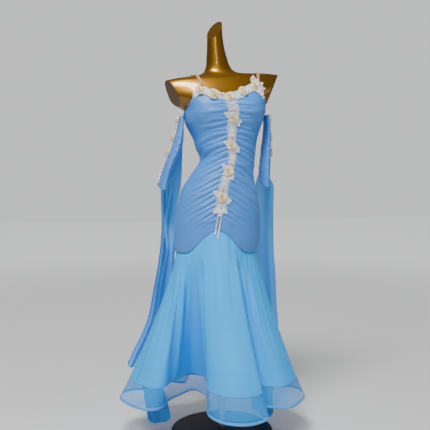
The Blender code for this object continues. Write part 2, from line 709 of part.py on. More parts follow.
def build_straps(collection, form_tree, surface):
    """Narrow elastic over each shoulder, seated on the form from the front to the back."""
    for row in STRAP_ROWS:
        values = dict(zip(STRAP_COLUMNS, row))
        sections = []
        for degrees in STRAP_TURNS:
            angle = radians(degrees)
            part = degrees / 180
            if part < 0.5:
                x = values["x_start"] + (values["x_top"] - values["x_start"]) * part * 2
            else:
                back = (part - 0.5) * STRAP_BACK_PULL
                x = values["x_top"] + (values["x_back"] - values["x_top"]) * back
            sections.append((x, values["z_start"], Vector((0, -cos(angle), sin(angle)))))
        last_x = sections[-1][0]
        for part in STRAP_BACK_PARTS:
            x = last_x + (values["x_back"] - last_x) * part
            z = values["z_start"] + (values["z_back"] - values["z_start"]) * part
            sections.append((x, z, Vector((0, 1, 0))))
        grid = []
        for x, z, toward in sections:
            line = []
            for edge in (-1, 1):
                point, normal = strap_hit(form_tree, x + edge * STRAP_WIDTH / 2, z, toward)
                line.append(point + normal * STRAP_LIFT)
            grid.append(line)
        name = "strap_left" if values["side"] < 0 else "strap_right"
        sheet(name, grid, surface, collection, thick=STRAP_THICK, grow=-1)


def lace_steps(length):
    """Places of the lace's bars and holes along its length."""
    repeats = int(length / (LACE_BAR + LACE_HOLE))
    scale = length / (repeats * (LACE_BAR + LACE_HOLE) + LACE_BAR)
    steps = [0.0]
    for _ in range(repeats):
        steps.append(steps[-1] + LACE_BAR * scale)
        steps.append(steps[-1] + LACE_HOLE * scale)
    steps.append(length)
    return steps


def seat(point, trees, lift=REST_GAP, away=None):
    """Moves a point out from the form's middle until it lies just outside some panels."""
    if away is None:
        away = Vector((point.x * SEAT_TURN, point.y, 0)).normalized()
    start = point + away * SEAT_REACH
    distance = SEAT_REACH
    for tree in trees:
        found = tree.ray_cast(start, -away, 2 * SEAT_REACH)
        if found[0] is not None:
            distance = min(distance, found[3] - lift)
    return start - away * distance


def front_lace_point(across, z):
    return body(front_line(z) + asin(across / CHEST_RADIUS), z, OUTSIDE)


def front_lace(collection, surface, trees):
    """The band down the middle of the front, with two rows of holes and scalloped edges."""
    top, low = FRONT_LACE
    grid = []
    for index, step in enumerate(lace_steps(top - low)):
        scallop = 1.0 if index % 4 in (1, 2) else FRONT_SCALLOP
        near, far = FRONT_LACE_SHARES
        line = []
        for share in (-scallop, -far, -near, near, far, scallop):
            line.append(seat(front_lace_point(share * FRONT_LACE_HALF, top - step), trees))
        grid.append(line)
    sheet("lace_front", grid, surface, collection, thick=LACE_THICK,
          holes=lambda row, column: row % 2 == 1 and column in (1, 3))


def neck_point(degrees, below):
    turn = radians(degrees)
    z = neckline(turn) - below
    return body(turn + front_line(z), z, OUTSIDE)


def neck_lace(collection, surface, trees):
    """The band along the neckline, a little above the bodice's edge and below it."""
    steps = lace_steps(NECK_LACE_LENGTH)
    grid = []
    for below, scallop in zip(NECK_LACE_BELOWS, NECK_SCALLOPS):
        line = []
        for index, step in enumerate(steps):
            degrees = NECK_LACE_REACH * (2 * step / NECK_LACE_LENGTH - 1)
            extra = 0.0 if index % 4 in (1, 2) else scallop
            line.append(seat(neck_point(degrees, below + extra), trees, NECK_LACE_LIFT))
        grid.append(line)
    sheet("lace_neckline", grid, surface, collection, thick=LACE_THICK,
          holes=lambda row, column: row == 1 and column % 2 == 1)


def sleeve_lace_point(rows, side, along, across):
    row = read_row(SLEEVE_COLUMNS, rows, along)
    return sleeve_point(rows, along, side * (pi / 2 + asin(across / row["half_deep"])), REST_GAP)


def sleeve_lace(name, rows, side, collection, surface, trees):
    """The band down the outer edge of a sleeve."""
    grid = []
    for index, step in enumerate(lace_steps(SLEEVE_LACE_LENGTH)):
        part = step / SLEEVE_LACE_LENGTH
        along = SLEEVE_LACE_START + (SLEEVE_LACE_END - SLEEVE_LACE_START) * part
        scallop = 1.0 if index % 4 in (1, 2) else SLEEVE_SCALLOP
        line = []
        for share in (-scallop, -SLEEVE_LACE_SHARE, SLEEVE_LACE_SHARE, scallop):
            point = sleeve_lace_point(rows, side, along, side * share * SLEEVE_LACE_HALF)
            line.append(seat(point, trees, REST_GAP, Vector((side, 0, 0))))
        grid.append(line)
    sheet(name, grid, surface, collection, thick=LACE_THICK,
          holes=lambda row, column: row % 2 == 1 and column == 1)


def build_drops(collection, surface, trees):
    """Two chains of stones on one head, the right one longer."""
    head = DROP_TOP - DROP_HEAD
    heights = [DROP_TOP] + spread(head, DROP_LONG, DROP_STEPS + 1)
    short_rows = sum(1 for z in heights if z >= DROP_SHORT)
    columns = [start + width for start in DROP_STARTS for width in (0, DROP_WIDTH)]
    grid = [[seat(front_lace_point(across, z), trees) for across in columns] for z in heights]

    def gap(row, column):
        return row > 0 and (column == 1 or (column == 0 and row >= short_rows - 1))

    sheet("rhinestone_drops", grid, surface, collection, thick=DROP_THICK, holes=gap)


def outward(sample, place, step=0.004):
    """The outward direction of a surface given by two numbers, at one place on it."""
    here = sample(*place)
    first = sample(place[0] + step, place[1]) - sample(place[0] - step, place[1])
    second = sample(place[0], place[1] + step) - sample(place[0], place[1] - step)
    normal = first.cross(second).normalized()
    return here, normal


def add_dome(name, point, normal, sizes, sides, lobes, surface, collection):
    """A soft rounded piece, with lobes round its rim, that sits on a surface."""
    radius, tall, back = sizes
    shape = bmesh.new()
    bmesh.ops.create_uvsphere(shape, u_segments=sides, v_segments=FLOWER_RINGS, radius=1)
    for corner in shape.verts:
        around = atan2(corner.co.y, corner.co.x)
        wide = radius * (1 + LOBE_DEPTH * cos(lobes * around))
        corner.co = Vector((corner.co.x * wide, corner.co.y * wide,
                            corner.co.z * (tall if corner.co.z > 0 else back)))
    mesh = bpy.data.meshes.new(name)
    shape.to_mesh(mesh)
    shape.free()
    mesh.shade_smooth()
    mesh.materials.append(surface)
    made = bpy.data.objects.new(name, mesh)
    made.matrix_world = (Matrix.Translation(point + normal * back)
                         @ normal.to_track_quat("Z", "Y").to_matrix().to_4x4())
    collection.objects.link(made)


def add_flowers(prefix, places, sample, radial, collection, cream, coral):
    """Rosettes and buds on one band of lace: places are pairs of a list and a kind."""
    for kind, spots in places:
        for index, spot in enumerate(spots, 1):
            point, normal = outward(sample, spot)
            if normal.dot(radial(point)) < 0:
                normal.negate()
            point = point + normal * (LACE_THICK + SEAM_GAP)
            name = "{}_{}_{}".format(kind, prefix, index)
            if kind == "rosette":
                add_dome(name, point, normal, (ROSETTE_RADIUS, ROSETTE_TALL, ROSETTE_BACK),
                         ROSETTE_SIDES, ROSETTE_LOBES, cream, collection)
            else:
                add_dome(name, point, normal, (BUD_RADIUS, BUD_TALL, BUD_BACK),
                         BUD_SIDES, BUD_LOBES, coral, collection)


def build_flowers(collection, cream, coral, trees, tubes):
    def away(point):
        return Vector((point.x, point.y, 0))

    def beside(point):
        return Vector((point.x, 0, 0))

    def front_sample(across, z):
        return seat(front_lace_point(across, z), trees)

    front = [(0.0, z) for z in FRONT_ROSETTES]
    front_buds = [(FRONT_BUD_ACROSS, z) for z in FRONT_BUDS]
    add_flowers("front", (("rosette", front), ("bud", front_buds)), front_sample,
                away, collection, cream, coral)

    def neck_sample(scaled, below):
        return seat(neck_point(scaled * 100, below), trees, NECK_LACE_LIFT)

    neck = [(degrees / 100, NECK_ROSETTE_BELOW) for degrees in NECK_ROSETTES]
    neck_buds = [(NECK_BUD / 100, NECK_BUD_BELOW)]
    add_flowers("neck", (("rosette", neck), ("bud", neck_buds)), neck_sample,
                away, collection, cream, coral)
    for prefix, rows, side in (("left", SLEEVE_LEFT_ROWS, -1), ("right", SLEEVE_RIGHT_ROWS, 1)):
        def on_sleeve(along, across, rows=rows, side=side, tube=tubes[prefix]):
            point = sleeve_lace_point(rows, side, along, across)
            return seat(point, [tube], REST_GAP, Vector((side, 0, 0)))

        rosettes = [(along, 0.0) for along in SLEEVE_ROSETTES]
        buds = [(along, 0.0) for along in SLEEVE_BUDS]
        add_flowers(prefix, (("rosette", rosettes), ("bud", buds)), on_sleeve, beside,
                    collection, cream, coral)


def main():
    clear_scene()
    dress = bpy.data.collections.new("ballroom_dress_on_form")
    cutters = bpy.data.collections.new("cutters")
    bpy.context.scene.collection.children.link(dress)
    bpy.context.scene.collection.children.link(cutters)
    gold = material("gold lacquer", (0.42, 0.22, 0.02), 0.18, 0.85)
    black = material("black paint", (0.01, 0.01, 0.012), 0.35)
    steel = material("brushed steel", (0.45, 0.45, 0.46), 0.35, 1.0)
    jersey = material("blue jersey", (0.20, 0.42, 0.80), 0.45)
    organza = material("blue organza", (0.22, 0.52, 0.85), 0.5)
    lining = material("blue lining", (0.20, 0.48, 0.84), 0.6)
    satin = material("blue binding", (0.10, 0.36, 0.80), 0.35)
    chiffon = material("blue chiffon", (0.18, 0.44, 0.76), 0.6)
    nude = material("nude elastic", (0.62, 0.38, 0.22), 0.7)
    lace = material("white lace", (0.85, 0.86, 0.84), 0.8)
    cream = material("cream tulle", (0.72, 0.68, 0.52), 0.9)
    coral = material("coral ribbon", (0.80, 0.28, 0.18), 0.5)
    crystal = material("clear stones", (0.85, 0.88, 0.92), 0.1, 0.6)

    form = build_form(dress, cutters, gold)
    build_stand(dress, black, steel)
    bodice_front("bodice_front_left", -1, SIDE_LEFT, dress, jersey)
    bodice_front("bodice_front_right", 1, SIDE_RIGHT, dress, jersey)
    bodice_back(dress, jersey)
    build_skirt(dress, organza, lining, satin)
    build_sleeve("sleeve_left", SLEEVE_LEFT_ROWS, dress, jersey)
    build_sleeve("sleeve_right", SLEEVE_RIGHT_ROWS, dress, jersey)
    build_float("float_left_front", FLOAT_LEFT_FRONT_ROWS, dress, chiffon)
    build_float("float_left_rear", FLOAT_LEFT_REAR_ROWS, dress, chiffon)
    build_float("float_right", FLOAT_RIGHT_ROWS, dress, chiffon)
    bpy.context.view_layer.update()
    settled = bpy.context.evaluated_depsgraph_get()
    form_tree = BVHTree.FromObject(form, settled)
    build_straps(dress, form_tree, nude)
    carriers = [bpy.data.objects[name] for name in
                ("bodice_front_left", "bodice_front_right", "skirt_front")]
    trees = [BVHTree.FromObject(carrier, settled) for carrier in carriers]
    front_lace(dress, lace, trees)
    neck_lace(dress, lace, trees)
    tubes = {}
    for name, rows, side in (("left", SLEEVE_LEFT_ROWS, -1), ("right", SLEEVE_RIGHT_ROWS, 1)):
        tubes[name] = BVHTree.FromObject(bpy.data.objects["sleeve_" + name], settled)
        sleeve_lace("lace_sleeve_" + name, rows, side, dress, lace, [tubes[name]])
    build_drops(dress, crystal, trees)
    build_flowers(dress, cream, coral, trees, tubes)


main()
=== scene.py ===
# %% [markdown]
# A ballroom dance dress on a limbless display form.
#
# The dress is sky-blue stretch jersey above the hips and layered organza below them. Lace, tulle
# rosettes, ribbon buds and chains of stones trim it. The rigid model is loaded first. It gives the
# shared frame: metres, +Z up, the dress facing -Y, and the stand's underside at the origin.

# %% Load the frame
from math import cos, pi, radians, sin

import bmesh
import bpy
import numpy as np
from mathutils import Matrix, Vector
from mathutils.bvhtree import BVHTree


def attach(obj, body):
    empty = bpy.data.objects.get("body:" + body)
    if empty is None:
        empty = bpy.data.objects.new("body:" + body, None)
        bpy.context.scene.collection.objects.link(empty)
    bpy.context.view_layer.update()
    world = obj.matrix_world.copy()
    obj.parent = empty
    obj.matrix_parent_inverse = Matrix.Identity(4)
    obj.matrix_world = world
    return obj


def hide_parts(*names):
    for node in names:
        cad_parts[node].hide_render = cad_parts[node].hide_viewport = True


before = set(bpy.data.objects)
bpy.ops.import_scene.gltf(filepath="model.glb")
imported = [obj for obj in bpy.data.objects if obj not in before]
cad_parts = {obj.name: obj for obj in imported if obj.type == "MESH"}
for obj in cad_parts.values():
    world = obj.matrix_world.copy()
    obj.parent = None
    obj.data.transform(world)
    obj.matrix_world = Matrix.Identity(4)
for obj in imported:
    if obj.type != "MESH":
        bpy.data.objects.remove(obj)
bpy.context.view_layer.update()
print("solids in the frame:", len(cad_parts))

# %% [markdown]
# The camera stands a little to the left of the form, at the height of its waist, and looks slightly
# down. It comes first, because every later choice is judged through it.

# %% Camera
IMAGE_WIDTH = 430
FOCAL_PIXELS = 620
CAMERA_TURN = radians(-12)
CAMERA_DISTANCE = 2.35
CAMERA_HEIGHT = 0.95
CAMERA_DOWN = radians(2.75)
CAMERA_ASIDE = 0.0265
image_right = np.array((cos(CAMERA_TURN), sin(CAMERA_TURN), 0))
image_depth = np.array((-sin(CAMERA_TURN), cos(CAMERA_TURN), 0))

camera_data = bpy.data.cameras.new("camera")
camera_data.lens = FOCAL_PIXELS / IMAGE_WIDTH * camera_data.sensor_width
camera = bpy.data.objects.new("camera", camera_data)
camera.location = Vector(-image_depth * CAMERA_DISTANCE - image_right * CAMERA_ASIDE)
camera.location.z = CAMERA_HEIGHT
camera.rotation_euler = (pi / 2 - CAMERA_DOWN, 0, CAMERA_TURN)
bpy.context.scene.collection.objects.link(camera)
bpy.context.scene.camera = camera
print("lens", round(camera_data.lens, 1), "mm")

# %% [markdown]
# Finishes, lights and trims are all trees of nodes, so a few helpers wire every tree. A socket takes
# a plain number, a colour or another node's output, and the helpers treat them alike.

# %% Wiring nodes


def wire(tree, value, socket):
    """Sets a socket to a plain value, or joins another node's output to it."""
    if isinstance(value, bpy.types.NodeSocket):
        tree.links.new(value, socket)
    else:
        socket.default_value = value


def new_node(tree, kind, *inputs, **settings):
    """A node with its settings, and with its inputs wired from pairs of a socket and a value."""
    node = tree.nodes.new(kind)
    for name, value in settings.items():
        setattr(node, name, value)
    for socket, value in inputs:
        wire(tree, value, node.inputs[socket])
    return node


def math_node(tree, operation, *values):
    """The result of one sum on up to three values."""
    return new_node(tree, "ShaderNodeMath", *enumerate(values), operation=operation).outputs[0]


def mix_colour(tree, factor, first, second):
    """A mix of two colours, each a plain one or another node's output."""
    first, second = [(*value, 1) if isinstance(value, tuple) else value for value in (first, second)]
    node = new_node(tree, "ShaderNodeMix", ("Factor", factor), (6, first), (7, second), data_type="RGBA")
    return node.outputs[2]


def new_finish(name, roughness, **inputs):
    """A material, its tree and its Principled shader, with some of the shader's inputs set."""
    material = bpy.data.materials.new(name)
    material.use_nodes = True
    tree = material.node_tree
    shader = tree.nodes["Principled BSDF"]
    for socket, value in (("Roughness", roughness), *inputs.items()):
        wire(tree, value, shader.inputs[socket.replace("_", " ")])
    return material, tree, shader


print("wiring ready")

# %% [markdown]
# Soft studio light: a wide lamp high in front, a weaker one from the side to open the shadows, one
# behind to lift the outline, and a pale world round everything. A tall narrow one stands near the
# camera, like a window, and draws the bright streak down the lacquered neck.

# %% Floor and light
FLOOR_REACH, FLOOR_HEIGHT = 14.0, -0.0004
FLOOR_FADE = (("From Min", 0.9), ("From Max", 6.0), ("To Min", 0.0), ("To Max", 0.75))
PALE_LIGHT = (0.80, 0.81, 0.82, 1)
LAMPS = (
    # name, place, height that it is aimed at, width and height, watts
    ("key", (-0.9, -1.5, 3.3), 0.75, (1.0, 0.7), 130), ("window", (-0.95, -3.6, 2.0), 1.3, (0.22, 1.4), 22),
    ("fill", (2.4, -1.9, 1.5), 0.9, (1.2, 1.6), 8), ("rim", (0.6, 2.6, 2.6), 1.0, (2.0, 1.2), 14),
)


def floor_finish():
    """Pale grey, and a little of its own light far off, so that it runs into the backdrop."""
    material, tree, shader = new_finish("pale floor", 0.75, Base_Color=(0.80, 0.80, 0.80, 1),
                                        Emission_Color=PALE_LIGHT)
    where = new_node(tree, "ShaderNodeTexCoord").outputs["Object"]
    away = new_node(tree, "ShaderNodeVectorMath", (0, where), operation="LENGTH").outputs["Value"]
    fade = new_node(tree, "ShaderNodeMapRange", ("Value", away), *FLOOR_FADE).outputs["Result"]
    camera_ray = new_node(tree, "ShaderNodeLightPath").outputs["Is Camera Ray"]
    wire(tree, math_node(tree, "MULTIPLY", fade, camera_ray), shader.inputs["Emission Strength"])
    return material


def add_floor():
    mesh = bpy.data.meshes.new("floor")
    corners = [(x * FLOOR_REACH, y * FLOOR_REACH, FLOOR_HEIGHT)
               for x, y in ((-1, -1), (1, -1), (1, 1), (-1, 1))]
    mesh.from_pydata(corners, [], [(0, 1, 2, 3)])
    mesh.materials.append(floor_finish())
    floor = bpy.data.objects.new("floor", mesh)
    bpy.context.scene.collection.objects.link(floor)


def add_lamp(name, place, aim, size, watts):
    data = bpy.data.lights.new(name, "AREA")
    data.shape = "RECTANGLE"
    data.size, data.size_y = size
    data.energy = watts
    lamp = bpy.data.objects.new(name, data)
    lamp.location = place
    lamp.rotation_euler = (Vector((0, 0, aim)) - Vector(place)).to_track_quat("-Z", "Y").to_euler()
    bpy.context.scene.collection.objects.link(lamp)


def add_world(seen, lighting, mirrored):
    """A pale grey backdrop to look at, a soft light for the cloth, and a dimmer room in the lacquer."""
    world = bpy.data.worlds.new("studio")
    world.use_nodes = True
    tree = world.node_tree
    ray = new_node(tree, "ShaderNodeLightPath").outputs
    strength = new_node(tree, "ShaderNodeMix", ("Factor", ray["Is Glossy Ray"]), (2, lighting), (3, mirrored))
    backdrop = new_node(tree, "ShaderNodeMix", ("Factor", ray["Is Camera Ray"]), (2, strength.outputs[0]),
                        (3, seen))
    light = tree.nodes["Background"].inputs
    wire(tree, PALE_LIGHT, light["Color"])
    wire(tree, backdrop.outputs[0], light["Strength"])
    bpy.context.scene.world = world


add_floor()
for lamp_row in LAMPS:
    add_lamp(*lamp_row)
add_world(seen=0.95, lighting=0.36, mirrored=0.16)
print("lamps:", len(LAMPS))

# %% [markdown]
# Smooth curves through short tables give every shape. A table's row holds a few measures of the
# body or the cloth at one level, and a cubic curve runs through them. Whole arrays are read at
# once, so a cloth of many thousand points still takes a moment.

# %% Reading tables


def column(rows, index, at):
    """Values of one column of a table, on a smooth curve, at many values of its first column."""
    rows = np.array(rows, float)
    keys, values = rows[:, 0], rows[:, index]
    at = np.clip(np.asarray(at, float), keys[0], keys[-1])
    low = np.clip(np.searchsorted(keys, at, side="right") - 1, 0, len(keys) - 2)
    before, after = np.maximum(np.arange(len(keys)) - 1, 0), np.minimum(np.arange(len(keys)) + 1,
                                                                       len(keys) - 1)
    slopes = (values[after] - values[before]) / (keys[after] - keys[before])
    span = keys[low + 1] - keys[low]
    part = (at - keys[low]) / span
    squared, cubed = part ** 2, part ** 3
    return ((2 * cubed - 3 * squared + 1) * values[low] + (cubed - 2 * squared + part) * span * slopes[low]
            + (3 * squared - 2 * cubed) * values[low + 1] + (cubed - squared) * span * slopes[low + 1])


def ease(value, start, end):
    """0 before start, 1 after end and a soft step between them."""
    part = np.clip((np.asarray(value, float) - start) / (end - start), 0, 1)
    return part * part * (3 - 2 * part)


def stack(x, y, z):
    return np.stack(np.broadcast_arrays(x, y, z), axis=-1)


# %% [markdown]
# The body: rings from the hips to the neck, with two cups at the front. The bare form is slimmer
# than the dress by a few millimetres, so the cloth lies clear of it.

# %% The body's shape
FORM_ROWS = (
    # z, middle, half width, front, back, tilt, roundness
    (0.648, -0.022, 0.085, 0.055, 0.062, 0.000, 2.0), (0.660, -0.022, 0.112, 0.073, 0.083, 0.000, 2.0),
    (0.680, -0.023, 0.136, 0.090, 0.102, 0.000, 2.1), (0.710, -0.022, 0.154, 0.105, 0.119, 0.000, 2.1),
    (0.769, -0.019, 0.1600, 0.111, 0.127, 0.000, 2.1), (0.811, -0.017, 0.1596, 0.111, 0.124, 0.000, 2.1),
    (0.867, -0.0145, 0.1530, 0.107, 0.114, 0.000, 2.1),
    (0.932, -0.0117, 0.1390, 0.100, 0.100, 0.000, 2.1),
    (0.989, 0.0010, 0.1155, 0.094, 0.089, 0.000, 2.0), (1.045, 0.0200, 0.1005, 0.090, 0.085, 0.000, 2.0),
    (1.090, 0.0144, 0.1110, 0.093, 0.088, 0.015, 2.0), (1.128, 0.0123, 0.1195, 0.095, 0.094, 0.030, 2.0),
    (1.184, 0.0080, 0.1425, 0.097, 0.100, 0.050, 2.1), (1.212, 0.0090, 0.1505, 0.099, 0.101, 0.060, 2.1),
    (1.238, 0.0085, 0.1570, 0.099, 0.102, 0.067, 2.1), (1.262, 0.0060, 0.1930, 0.096, 0.101, 0.075, 2.1),
    (1.287, 0.0040, 0.2320, 0.091, 0.099, 0.080, 2.1), (1.315, 0.0030, 0.2450, 0.080, 0.087, 0.083, 2.1),
    (1.342, 0.0030, 0.2380, 0.064, 0.070, 0.083, 2.1), (1.356, 0.0000, 0.2000, 0.053, 0.057, 0.083, 2.1),
    (1.363, -0.0030, 0.1150, 0.048, 0.050, 0.070, 2.0), (1.371, -0.0070, 0.0720, 0.044, 0.045, 0.040, 2.0),
    (1.389, -0.0143, 0.0490, 0.040, 0.040, 0.010, 2.0), (1.434, -0.0215, 0.0375, 0.036, 0.036, 0.000, 2.0),
    (1.478, -0.0260, 0.0315, 0.033, 0.033, 0.000, 2.0), (1.523, -0.0286, 0.0287, 0.031, 0.031, 0.000, 2.0),
    (1.580, -0.0290, 0.0285, 0.031, 0.031, 0.000, 2.0),
)
FRONT_LINE_ROWS = ((0.700, -9.0), (0.780, -8.0), (0.850, -5.5), (0.940, -3.0),
                   (1.050, -1.5), (1.130, 0.5), (1.210, 3.0), (1.280, -2.0), (1.320, -2.5))
NECKLINE_ROWS = ((0, 1.275), (18, 1.288), (40, 1.308), (52, 1.298), (64, 1.270),
                 (73, 1.248), (82, 1.234), (92, 1.227), (130, 1.216), (180, 1.210))
CUP_ANGLE, CUP_SPREAD = radians(35), radians(27)
CUP_HEIGHT, CUP_TALL, CUP_DEPTH = 1.222, 0.052, 0.021
CHEST_HALF, CHEST_TAPER = 0.153, 0.22
FORM_INSET, FORM_CUP = 0.0036, 0.85
INSET_END, INSET_FADE = 1.345, 0.035
EASE = 0.0022


def front_line(z):
    """The angle of the middle of the front, which wanders a little from level to level."""
    return np.radians(column(FRONT_LINE_ROWS, 1, z))


def neckline(turn):
    return column(NECKLINE_ROWS, 1, np.degrees(np.abs(turn)))


def body(angle, z, lift=0.0, bare=False):
    """Points on the bare form, or at a distance outside it where the dress lies."""
    angle, z = np.broadcast_arrays(np.asarray(angle, float), np.asarray(z, float))
    middle, width, front, back, tilt, roundness = [column(FORM_ROWS, index, z) for index in range(1, 7)]
    chest = np.where(z > CUP_HEIGHT, np.minimum(width, CHEST_HALF - CHEST_TAPER * (z - CUP_HEIGHT)), width)
    wide = width if bare else chest
    if bare:
        lift = -FORM_INSET * np.clip((INSET_END - z) / INSET_FADE, 0, 1)
    sine, cosine = np.sin(angle), np.cos(angle)
    across = (wide + lift) * np.abs(sine) ** (2 / roundness) * np.sign(sine)
    filled = np.maximum(1 - (np.abs(across) / (width + lift)) ** roundness, 0) ** (1 / roundness)
    ahead = cosine > 0
    y = np.where(cosine >= 0, -(front + lift), back + lift) * filled
    x = middle + across
    facing = np.arcsin(np.clip(across / chest, -1, 1))
    turn = facing - front_line(z)
    level = np.exp(-((z - CUP_HEIGHT) / CUP_TALL) ** 2)
    swell = CUP_DEPTH * level * (np.exp(-((turn + CUP_ANGLE) / CUP_SPREAD) ** 2)
                                 + np.exp(-((turn - CUP_ANGLE) / CUP_SPREAD) ** 2))
    swell = np.where(ahead, swell * (FORM_CUP if bare else 1), 0)
    return stack(x + swell * np.sin(facing), y - swell * np.cos(facing), z + tilt * across)


print("waist", np.round(body(0, 1.045), 3), "bust", np.round(body(0.6, 1.222), 3))

# %% [markdown]
# The hip seam arches at the front. The skirt starts there and runs out to a hem of deep flutes.
# Each flute is a row of the hem's table: where it starts round the hips, and where it ends.

# %% Hip seam and skirt
SIDE_LEFT, SIDE_RIGHT = radians(88), radians(70)
SEAM_SIDE, SEAM_RISE, SEAM_ARCH = 0.700, 0.086, 0.125
SEAM_MIDDLE, HIP_RADIUS = radians(-8), 0.165
PANEL_SHARES = (0.0, 0.08, 0.16, 0.25, 0.35, 0.46, 0.58, 0.70, 0.81, 0.91, 1.0)
PANEL_REACH, PANEL_START = 0.998, 0.0012
SKIRT_GAP = 0.0009
HEM, FLARE = 0.140, 1.30
HEM_ROWS = (
    # degrees round the hips, x, y
    (-172, -0.010, 0.250), (-160, -0.075, 0.285), (-149, -0.120, 0.180), (-138, -0.215, 0.240),
    (-128, -0.205, 0.150), (-119, -0.285, 0.135), (-110, -0.360, 0.120), (-102, -0.386, 0.045),
    (-94, -0.352, -0.045), (-84, -0.300, -0.102), (-70, -0.245, -0.090), (-58, -0.205, -0.010),
    (-50, -0.150, 0.045), (-43, -0.095, 0.085), (-37, -0.062, 0.010), (-30, -0.080, -0.095),
    (-21, -0.092, -0.205), (-11, -0.060, -0.282), (-1, 0.000, -0.318), (7, 0.060, -0.308),
    (14, 0.104, -0.258), (21, 0.098, -0.155), (31, 0.142, -0.165), (45, 0.205, -0.188),
    (60, 0.268, -0.138), (76, 0.314, -0.058), (92, 0.300, 0.035), (105, 0.215, 0.060),
    (118, 0.160, 0.105), (131, 0.225, 0.200), (144, 0.180, 0.265), (156, 0.100, 0.190),
    (172, 0.060, 0.275),
)
HEM_LOOP = (tuple((angle - 360, x, y) for angle, x, y in HEM_ROWS[-3:]) + HEM_ROWS
            + tuple((angle + 360, x, y) for angle, x, y in HEM_ROWS[:3]))


def seam_curve(angle):
    reach = np.clip(np.abs(HIP_RADIUS * np.sin(angle - SEAM_MIDDLE)) / SEAM_ARCH, 0, 1)
    arch = SEAM_SIDE + SEAM_RISE * 0.5 * (1 + np.cos(pi * reach))
    return np.where(np.cos(angle) <= 0, SEAM_SIDE, arch)


def seam_knots():
    """The seam's corners: both panels' columns meet the skirt at them."""
    knots = []
    for sign, side in ((-1, SIDE_LEFT), (1, SIDE_RIGHT)):
        for share in PANEL_SHARES:
            turn = sign * (side * share * PANEL_REACH + PANEL_START)
            angle = turn + front_line(SEAM_SIDE)
            for _ in range(4):
                angle = turn + front_line(seam_curve(angle))
            knots.append((float(angle), float(seam_curve(angle))))
    return np.array(sorted(knots))


KNOTS = seam_knots()


def seam_height(angle):
    angle = (np.asarray(angle, float) + pi) % (2 * pi) - pi
    inside = (angle > KNOTS[0, 0]) & (angle < KNOTS[-1, 0])
    return np.where(inside, np.interp(angle, KNOTS[:, 0], KNOTS[:, 1]), SEAM_SIDE)


def skirt_point(degrees, down):
    """Points on the skirt's inner face: down is 0 at the hip seam and 1 at the hem."""
    degrees, down = np.broadcast_arrays(np.asarray(degrees, float), np.asarray(down, float))
    angle = np.radians(degrees)
    top = body(angle, seam_height(angle) - SKIRT_GAP, EASE)
    wrapped = (degrees + 180) % 360 - 180
    part = down ** FLARE
    x = top[..., 0] + (column(HEM_LOOP, 1, wrapped) - top[..., 0]) * part
    y = top[..., 1] + (column(HEM_LOOP, 2, wrapped) - top[..., 1]) * part
    return stack(x, y, top[..., 2] + (HEM - top[..., 2]) * down)


def panel_level(turn, down):
    """Angle and height at a share of the way from the neckline down to the hip seam."""
    turn, down = np.broadcast_arrays(np.asarray(turn, float), np.asarray(down, float))
    top = neckline(np.where(turn < pi, turn, turn - 2 * pi))
    z = top.copy()
    for _ in range(5):
        z = top + (seam_height(turn + front_line(z)) - top) * down
    return turn + front_line(z), z


# %% [markdown]
# Cloth is a grid of points with a thin wall. The grid is open, and Solidify gives it its thickness.
# Its UV map is in metres along the threads, so a weave or a knit has its real scale and follows
# every fold. A grid may also carry a value at each point, such as how see-through it is there.

# %% Cloth from a grid
collection = bpy.data.collections.new("dress")
bpy.context.scene.collection.children.link(collection)


def outward_normals(grid):
    """Directions across a grid, from the steps to each point's neighbours."""
    normal = np.cross(np.gradient(grid, axis=0), np.gradient(grid, axis=1))
    return normal / np.maximum(np.linalg.norm(normal, axis=-1, keepdims=True), 1e-12)


def grid_mesh(name, grid, closed=False, values=None):
    """A mesh of quads whose faces look along down x across, with UVs in metres."""
    rows, columns = grid.shape[:2]
    last = columns if closed else columns - 1
    row, col = np.meshgrid(np.arange(rows - 1), np.arange(last), indexing="ij")
    after = (col + 1) % columns
    faces = np.stack([row * columns + col, (row + 1) * columns + col,
                      (row + 1) * columns + after, row * columns + after], axis=-1).reshape(-1, 4)
    mesh = bpy.data.meshes.new(name)
    mesh.from_pydata(grid.reshape(-1, 3), [], faces.tolist())
    mesh.polygons.foreach_set("use_smooth", np.ones(len(faces), bool))
    step_down = np.linalg.norm(np.diff(grid, axis=0), axis=-1).mean(axis=1)
    step_across = np.linalg.norm(np.diff(grid, axis=1), axis=-1).mean(axis=0)
    v = np.concatenate([[0], np.cumsum(step_down)])
    u = np.concatenate([[0], np.cumsum(step_across), [np.sum(step_across) + step_across[-1]]])
    corners_u = np.stack([u[col], u[col], u[col + 1], u[col + 1]], axis=-1)
    corners_v = np.stack([v[row], v[row + 1], v[row + 1], v[row]], axis=-1)
    layer = mesh.uv_layers.new(name="threads")
    layer.data.foreach_set("uv", np.stack([corners_u, -corners_v], axis=-1).reshape(-1))
    for key, value in (values or {}).items():
        attribute = mesh.attributes.new(key, "FLOAT", "POINT")
        attribute.data.foreach_set("value", np.broadcast_to(value, (rows, columns)).astype(float).ravel())
    return mesh


def skin(shape, rings):
    """Faces between rings of corners. One corner may stand for a whole ring."""
    for low, high in zip(rings, rings[1:]):
        for index in range(len(low)):
            after = (index + 1) % len(low)
            shape.faces.new(list(dict.fromkeys((low[index], low[after], high[after], high[index]))))


def spun_rings(shape, profile, sides):
    """Rings of corners for a profile of radius and height, spun round the upright axis."""
    turns = np.linspace(0, 2 * pi, sides, endpoint=False)
    rings = []
    for radius, z in profile:
        if radius == 0:
            rings.append([shape.verts.new((0, 0, z))] * sides)
        else:
            rings.append([shape.verts.new((radius * cos(turn), radius * sin(turn), z)) for turn in turns])
    return rings


def finished(name, shape, smooth=True):
    """A mesh of the shape, with its faces turned outwards."""
    bmesh.ops.recalc_face_normals(shape, faces=shape.faces)
    mesh = bpy.data.meshes.new(name)
    shape.to_mesh(mesh)
    shape.free()
    if smooth:
        mesh.shade_smooth()
    return mesh


